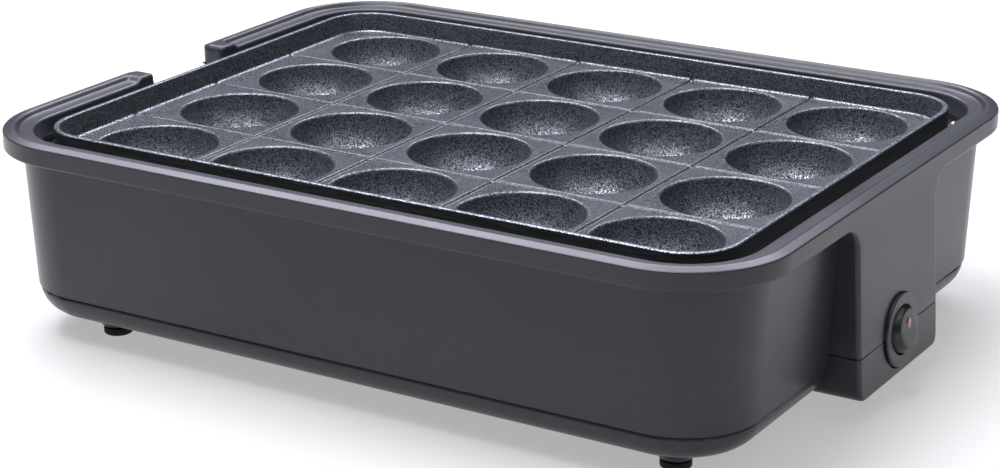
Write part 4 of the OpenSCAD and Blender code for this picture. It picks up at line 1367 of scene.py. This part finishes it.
    def _underside(self, shell: Shell) -> None:
        """Adds the web between the cups' bowls and the legs."""
        bowl_r = math.sqrt(self.shell_r ** 2 - (self.cup_z - self.under) ** 2)
        steps, end_in, side_in = 14, 5.5, 2.0
        for col in range(self.cols):
            for row in range(self.rows):
                cx, cy = self.centre(col, row)
                reach = (self.half_x - end_in - cx if col == self.cols - 1 else self.pitch_x / 2,
                         self.half_y - side_in - cy if row == self.rows - 1 else self.pitch_y / 2,
                         self.half_x - end_in + cx if col == 0 else self.pitch_x / 2,
                         self.half_y - side_in + cy if row == 0 else self.pitch_y / 2)
                spokes = []
                for k in range(4 * steps):
                    px, py = cell_point(k // steps, k % steps / steps, reach)
                    ux, uy = outwards(px, py)
                    spokes.append([(cx + px, cy + py, self.under),
                                   (cx + ux * bowl_r, cy + uy * bowl_r, self.under)])
                shell.net(spokes, around=True, value=lambda _row, _column: 1.0)
        foot = [(0.0, self.leg_foot_z), (self.leg - 0.5, self.leg_foot_z), (self.leg, self.leg_foot_z + 0.5),
                (self.leg, self.under + 0.5)]
        for sx in (-1, 1):
            for sy in (-1, 1):
                place = Matrix.Translation((sx * 1.5 * self.pitch_x, sy * (self.half_y - self.leg_in), 0))
                shell.lathe(foot, place, 32)


@dataclass
class Switch:
    """The round rocker switch: bezel, rocker with two faces, lamp window."""

    body: Body
    bezel_r: float = 12.3
    bezel_t: float = 1.2
    barrel_r: float = 10.0
    barrel_l: float = 19.0
    rocker_r: float = 8.0
    gap: float = 0.3
    pivot_depth: float = 2.0
    face: float = 4.4
    tilt: float = 9.0
    lens_r: float = 2.0
    lens_up: float = 2.0
    dish: float = 0.3
    dish_half: float = 6.5

    def build(self, shop: Workshop) -> None:
        """Builds the three visible pieces and puts them in place of their CAD nodes."""
        place = self.body.panel()
        shell = shop.shell()
        cavity = self.rocker_r + self.gap
        t, r = self.bezel_t, self.bezel_r
        ring: Profile = [(0.0, -self.barrel_l), (self.barrel_r, -self.barrel_l), (self.barrel_r, 0.0),
                         (r - 0.15, 0.0), (r, 0.15)]
        ring += arc(r - 0.6, t - 0.6, 0.6, 0, 90, 5)
        ring += [(cavity + 0.9, t)]
        ring += arc(cavity + 0.3, t - 0.3, 0.3, 90, 180, 5)
        ring += [(cavity, -12.0), (0.0, -12.0)]
        shell.lathe(ring, place, 96)
        bezel = shell.make("switch_bezel", 38)
        shop.settle(bezel, Finish.CONTROL, "base", "control_black", "switch_housing")
        self._rocker(shop, place)

    def _rocker(self, shop: Workshop, place: Matrix) -> None:
        """Builds the rocker, its crown bent in two at the pivot, and the lamp window."""
        pivot = place @ Matrix.Translation((0, 0, self.bezel_t - self.pivot_depth))
        turned = pivot @ Matrix.Rotation(-math.radians(self.tilt), 4, "X")
        rim = math.sqrt(self.rocker_r ** 2 - self.face ** 2)
        side: Profile = [(0.0, -3.5), (7.2, -3.5)]
        for lat in (-18, -8, 0, 10, 20):
            side += arc(0.0, 0.0, self.rocker_r, lat, lat, 1)[:1]
        crown = ((1.0, 0.55), (0.985, 0.25), (0.95, 0.07), (0.9, 0.0), (0.6, 0.0), (0.3, 0.0), (0.0, 0.0))
        shell = shop.shell()
        rows = []
        steps = 96
        for k in range(steps):
            c, s = math.cos(2 * math.pi * k / steps), math.sin(2 * math.pi * k / steps)
            row = [Vector((r * c, r * s, h)) for r, h in side]
            row += [Vector((rim * share * c, rim * share * s, self.face - drop - self._sunk(rim * share * s)))
                    for share, drop in crown]
            rows.append([tuple(turned @ v) for v in row])
        shell.net(rows, around=True)
        rocker = shell.make("switch_rocker_cap", 30)
        shop.settle(rocker, Finish.CONTROL, "rocker", "control_black", "switch_rocker")
        lens = shop.shell()
        base = turned @ Matrix.Translation((0, self.lens_up, self.face - self._sunk(self.lens_up)))
        dome = [(0.0, -1.1), (self.lens_r - 0.05, -1.1), (self.lens_r - 0.05, 0.0)]
        dome += [(1.75, 0.12), (1.3, 0.24), (0.7, 0.32), (0.0, 0.35)]
        lens.lathe(dome, base, 48)
        window = lens.make("lamp_window", 50)
        shop.settle(window, Finish.LENS, "rocker", "lens", "lamp_lens")

    def _sunk(self, up: float) -> float:
        """Returns how far the rocker's face lies behind its ends at a height: a shallow V."""
        return self.dish * (1 - smooth_step(0.0, self.dish_half, abs(up)))


@dataclass
class Feet:
    """The four rubber feet."""

    left: float = 104.5
    right: float = 112.0
    half_y: float = 85.0
    radius: float = 5.0
    pad: float = 2.6
    neck: float = 0.8

    def build(self, shop: Workshop) -> None:
        """Builds each foot with eased edges and puts it in place of its CAD node."""
        top = self.pad + self.neck
        profile: Profile = [(0.0, 0.0), (self.radius - 0.9, 0.0)]
        profile += arc(self.radius - 0.7, 0.7, 0.7, -75, 0, 4)
        profile += arc(self.radius - 0.4, self.pad - 0.4, 0.4, 0, 90, 4)
        profile += [(self.radius - 1.5, self.pad), (self.radius - 1.6, self.pad + 0.1), (self.radius - 1.6, top),
                    (2.3, top), (2.3, 9.9), (3.1, 9.9), (1.7, 11.9), (0.0, 11.9)]
        for across, x in (("left", -self.left), ("right", self.right)):
            for along, y in (("front", -self.half_y), ("back", self.half_y)):
                shell = shop.shell()
                shell.lathe(profile, Matrix.Translation((x, y, 0)), 48)
                foot = shell.make(f"rubber_foot_{along}_{across}", 40)
                shop.settle(foot, Finish.RUBBER, "base", "rubber", f"foot_{along}_{across}")


@dataclass
class Base:
    """The base moulding, whose CAD shape is kept with its curves smoothed."""

    def build(self, shop: Workshop) -> None:
        """Copies the CAD node, joins its loose triangles and smooths its curves."""
        source = shop.frame["nodes"]["base_pan"]
        mesh = source.data.copy()
        mesh.name = "base_moulding"
        obj = add_object("base_moulding", mesh)
        work = bmesh.new()
        work.from_mesh(mesh)
        bmesh.ops.remove_doubles(work, verts=work.verts, dist=WELD / 2)
        work.to_mesh(mesh)
        work.free()
        mesh.shade_smooth()
        mesh.set_sharp_from_angle(angle=math.radians(25))
        weigh_normals(obj)
        shop.settle(obj, Finish.CASE, "base", "case", "base_pan")


@dataclass
class Heater:
    """The sheathed tube, bent round the tray, with two tails towards the control box."""

    half_x: float = 117.0
    half_y: float = 46.3
    centre_z: float = 46.5
    radius: float = 3.3
    bend: float = 14.0
    tail_y: float = 12.0
    tail_bend: float = 8.0
    tail_run: float = 9.0

    def path(self) -> list[Point]:
        """Returns the tube's middle line, from one tail's end to the other's."""
        ax, ay = self.half_x - self.bend, self.half_y - self.bend
        tx, ty = self.half_x + self.tail_bend, self.tail_y + self.tail_bend
        flat: Profile = [(tx + self.tail_run, self.tail_y)]
        flat += arc(tx, ty, self.tail_bend, 270, 180, 10)
        for sx, sy, start in ((1, 1, 0), (-1, 1, 90), (-1, -1, 180), (1, -1, 270)):
            flat += arc(sx * ax, sy * ay, self.bend, start, start + 90, 16)
        flat += arc(tx, -ty, self.tail_bend, 180, 90, 10)
        flat += [(tx + self.tail_run, -self.tail_y)]
        return [(x, y, self.centre_z) for x, y in flat]

    def build(self, shop: Workshop) -> None:
        """Sweeps the tube and puts it in place of its CAD node."""
        points = self.path()
        edges = [(k, k + 1) for k in range(len(points) - 1)]
        tube = shop.grow("heater_tube", shop.trees.tube, points, edges, Finish.SHEATH,
                         {"Tube Radius": self.radius * MM, "Sides": 24})
        shop.settle(tube, Finish.SHEATH, "base", "sheath", "heating_element")


@dataclass(frozen=True)
class ScrewRow:
    """One kind of screw: where its seats are, which way its heads look and how long it is."""

    name: str
    node: str
    length: float
    up: bool


@dataclass
class Screws:
    """The pan-head screws, placed where the CAD nodes' own screws are."""

    head_r: float = 2.5
    head_h: float = 1.8
    shank_r: float = 1.35
    recess_w: float = 0.8
    apart: float = 9.0
    rows: tuple[ScrewRow, ...] = (
        ScrewRow("screws_base", "base_screws", 16.0, False), ScrewRow("screws_cover", "cover_screws", 16.0, False),
        ScrewRow("screws_reflector", "reflector_screws", 10.0, True),
        ScrewRow("screws_bracket", "bracket_screws", 5.0, True))

    def seats(self, shop: Workshop, row: ScrewRow) -> list[Point]:
        """Finds each screw's seat from its own part of the CAD node's mesh.

        Args:
            shop: The workshop.
            row: The kind of screw.

        Returns:
            The seats, in millimetres about the rim's middle.
        """
        work = bmesh.new()
        work.from_mesh(shop.frame["nodes"][row.node].data)
        spots: list[list[Vector]] = []
        for vert in work.verts:
            near = [s for s in spots if (s[0].xy - vert.co.xy).length < self.apart * MM]
            if near:
                near[0].append(vert.co.copy())
            else:
                spots.append([vert.co.copy()])
        work.free()
        out = []
        for spot in spots:
            (x0, x1), (y0, y1), (z0, z1) = ((min(v[n] for v in spot) / MM, max(v[n] for v in spot) / MM)
                                            for n in range(3))
            z = z1 - self.head_h if row.up else z0 + self.head_h
            out.append(((x0 + x1) / 2 - shop.middle_x, (y0 + y1) / 2, z))
        return out

    def build(self, shop: Workshop) -> None:
        """Builds each kind of screw and puts it in place of its CAD node."""
        for row in self.rows:
            seats = self.seats(shop, row)
            values = {"Head Radius": self.head_r * MM, "Head Height": self.head_h * MM,
                      "Shank Radius": self.shank_r * MM, "Shank Length": row.length * MM,
                      "Recess Width": self.recess_w * MM, "Sides": 28}
            made = shop.grow(row.name, shop.trees.screw, seats, [], Finish.STEEL, values,
                             (0.0, 0.0, 1.0 if row.up else -1.0))
            shop.settle(made, Finish.STEEL, "base", "steel", row.node)
            log.info("%s: %d screws", row.name, len(seats))


KEPT_NODES: dict[str, Finish] = {
    "heat_reflector": Finish.BRIGHT,
    "element_pins": Finish.STEEL,
    "element_bushes": Finish.CERAMIC,
    "element_brackets": Finish.STEEL,
    "thermostat": Finish.CONTROL,
    "thermostat_rivets": Finish.STEEL,
    "thermal_fuse": Finish.BRIGHT,
    "fuse_clip": Finish.STEEL,
    "terminal_block": Finish.CERAMIC,
    "terminal_screws": Finish.STEEL,
    "switch_terminals": Finish.STEEL,
    "cord_gland": Finish.CONTROL,
    "lead_switch": Finish.RUBBER,
    "lead_thermostat": Finish.LEAD_RED,
    "lead_fuse": Finish.LEAD_WHITE,
    "lead_element": Finish.LEAD_WHITE,
}


# ------------------------------------------------------------------ studio


def background_rays(make: NodeWriter) -> Socket:
    """Adds a Light Path that is 1 for what sees the white background: camera, gloss and clear pieces.

    Args:
        make: The writer of the floor's or the world's tree.

    Returns:
        The greatest of the three kinds of ray.
    """
    rays = make.node("ShaderNodeLightPath").outputs
    seen = make.math("MAXIMUM", rays["Is Camera Ray"], rays["Is Glossy Ray"])
    return make.math("MAXIMUM", seen, rays["Is Transmission Ray"])


@dataclass(frozen=True)
class Lamp:
    """A soft rectangular light: where it hangs, in metres, what it aims at, its size, power and colour."""

    name: str
    place: Point
    aim: Point
    wide: float
    high: float
    power: float
    colour: Colour

    def hang(self) -> None:
        """Makes the light."""
        data = bpy.data.lights.new(self.name, "AREA")
        data.shape = "RECTANGLE"
        data.size = self.wide
        data.size_y = self.high
        data.energy = self.power
        data.color = self.colour
        obj = add_object(self.name, data)
        obj.location = Vector(self.place)
        obj.rotation_euler = (Vector(self.aim) - Vector(self.place)).to_track_quat("-Z", "Y").to_euler()


LAMPS = (
    Lamp("light_overhead", (-0.26, -0.12, 1.22), (0, 0, 0.04), 0.9, 0.8, 18.0, (0.95, 0.965, 1.0)),
    Lamp("light_back", (-0.61, 0.87, 1.06), (0, 0, 0.05), 1.3, 0.42, 16.0, (0.86, 0.87, 1.0)),
    Lamp("light_right", (1.15, -0.1, 0.62), (0.05, 0, 0.03), 0.7, 0.6, 0.4, (0.72, 0.82, 1.0)),
)


@dataclass
class Studio:
    """Camera, floor, lights, dark surround and white background."""

    middle_x: float
    eye: Point = (435.62, -710.02, 320.01)
    look: Point = (65.11, -109.40, 73.07)
    roll: float = -0.371
    lens: float = 91.458
    ambient: float = 0.4
    floor_half: float = 3.0
    floor_tone: float = 0.52
    floor_glow: float = 0.42
    cloth_r: float = 1.5
    cloth_low: float = 0.03
    cloth_high: float = 1.25

    def build(self) -> None:
        """Builds the whole studio."""
        self._camera()
        self._floor()
        for lamp in LAMPS:
            lamp.hang()
        self._surround()
        self._world()

    def _camera(self) -> None:
        """Places the camera at the photograph's angle."""
        data = bpy.data.cameras.new("camera")
        data.lens = self.lens
        data.sensor_width = 36.0
        data.sensor_fit = "HORIZONTAL"
        data.clip_start = 0.01
        data.clip_end = 20.0
        obj = add_object("camera", data)
        eye = Vector((self.eye[0] + self.middle_x, self.eye[1], self.eye[2])) * MM
        look = Vector((self.look[0] + self.middle_x, self.look[1], self.look[2])) * MM
        ahead = (look - eye).normalized()
        right = ahead.cross(Vector((0, 0, 1))).normalized()
        up = right.cross(ahead)
        c, s = math.cos(math.radians(self.roll)), math.sin(math.radians(self.roll))
        right, up = right * c + up * s, up * c - right * s
        turn = Matrix((right, up, -ahead)).transposed().to_4x4()
        obj.matrix_world = Matrix.Translation(eye) @ turn
        bpy.context.scene.camera = obj

    def _floor(self) -> None:
        """Lays a plain white floor that keeps a soft shadow."""
        half = self.floor_half
        make = MaterialMaker("studio_floor")
        material = make.close({
            "Base Color": (self.floor_tone, self.floor_tone, self.floor_tone, 1), "Roughness": 0.9,
            "Specular IOR Level": 0.0, "Emission Color": (1, 1, 1, 1),
            "Emission Strength": make.spread(background_rays(make), (0, 1), 0.0, self.floor_glow)})
        self._stage("floor", [(-half, -half, 0), (half, -half, 0), (half, half, 0), (-half, half, 0)],
                    [(0, 1, 2, 3)], material)

    def _surround(self) -> None:
        """Stands a dark cloth wall round the table, which only light and reflections meet."""
        steps = 48
        ring = arc(0.0, 0.0, self.cloth_r, 0, 360, steps)[:steps]
        points = [(x, y, z) for z in (self.cloth_low, self.cloth_high) for x, y in ring]
        faces = [((k + 1) % steps, k, k + steps, (k + 1) % steps + steps) for k in range(steps)]
        material = MaterialMaker("studio_dark_cloth").close({
            "Base Color": (0.05, 0.05, 0.055, 1), "Roughness": 1.0, "Specular IOR Level": 0.0})
        self._stage("studio_surround", points, faces, material).visible_camera = False

    @staticmethod
    def _stage(name: str, points: list[Point], faces: list[tuple[int, ...]],
               material: bpy.types.Material) -> bpy.types.Object:
        """Makes one piece of the studio and returns it."""
        mesh = bpy.data.meshes.new(name)
        mesh.from_pydata(points, [], faces)
        mesh.materials.append(material)
        obj = add_object(name, mesh)
        return obj

    def _world(self) -> None:
        """Sets the studio's plain light and a white background."""
        world = bpy.data.worlds.new("studio_world")
        bpy.context.scene.world = world
        world.use_nodes = True
        make = NodeWriter(world.node_tree)
        make.fill(make.tree.nodes["Background"], {
            "Color": (1, 1, 1, 1), "Strength": make.spread(background_rays(make), (0, 1), self.ambient, 1.0)})


def main() -> None:
    """Loads the frame, finds the rim's middle from the plate's box, and builds every piece and the studio."""
    logging.basicConfig(level=logging.INFO, format="%(name)s: %(message)s")
    bpy.context.scene.view_settings.view_transform = "Standard"
    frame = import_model()
    low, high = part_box("cooking_plate")
    middle_x = (low[0] + high[0]) / 2 / MM
    shop = Workshop(frame, Wardrobe(), middle_x)
    body = Body()
    for piece in (body, ControlCover(body), Base(), CookingPlate(), Switch(body), Feet(), Heater(), Screws()):
        piece.build(shop)
    for node, finish in KEPT_NODES.items():
        shop.wardrobe.redress(frame["nodes"][node], finish)
    Studio(middle_x).build()


if __name__ == "__main__":
    main()
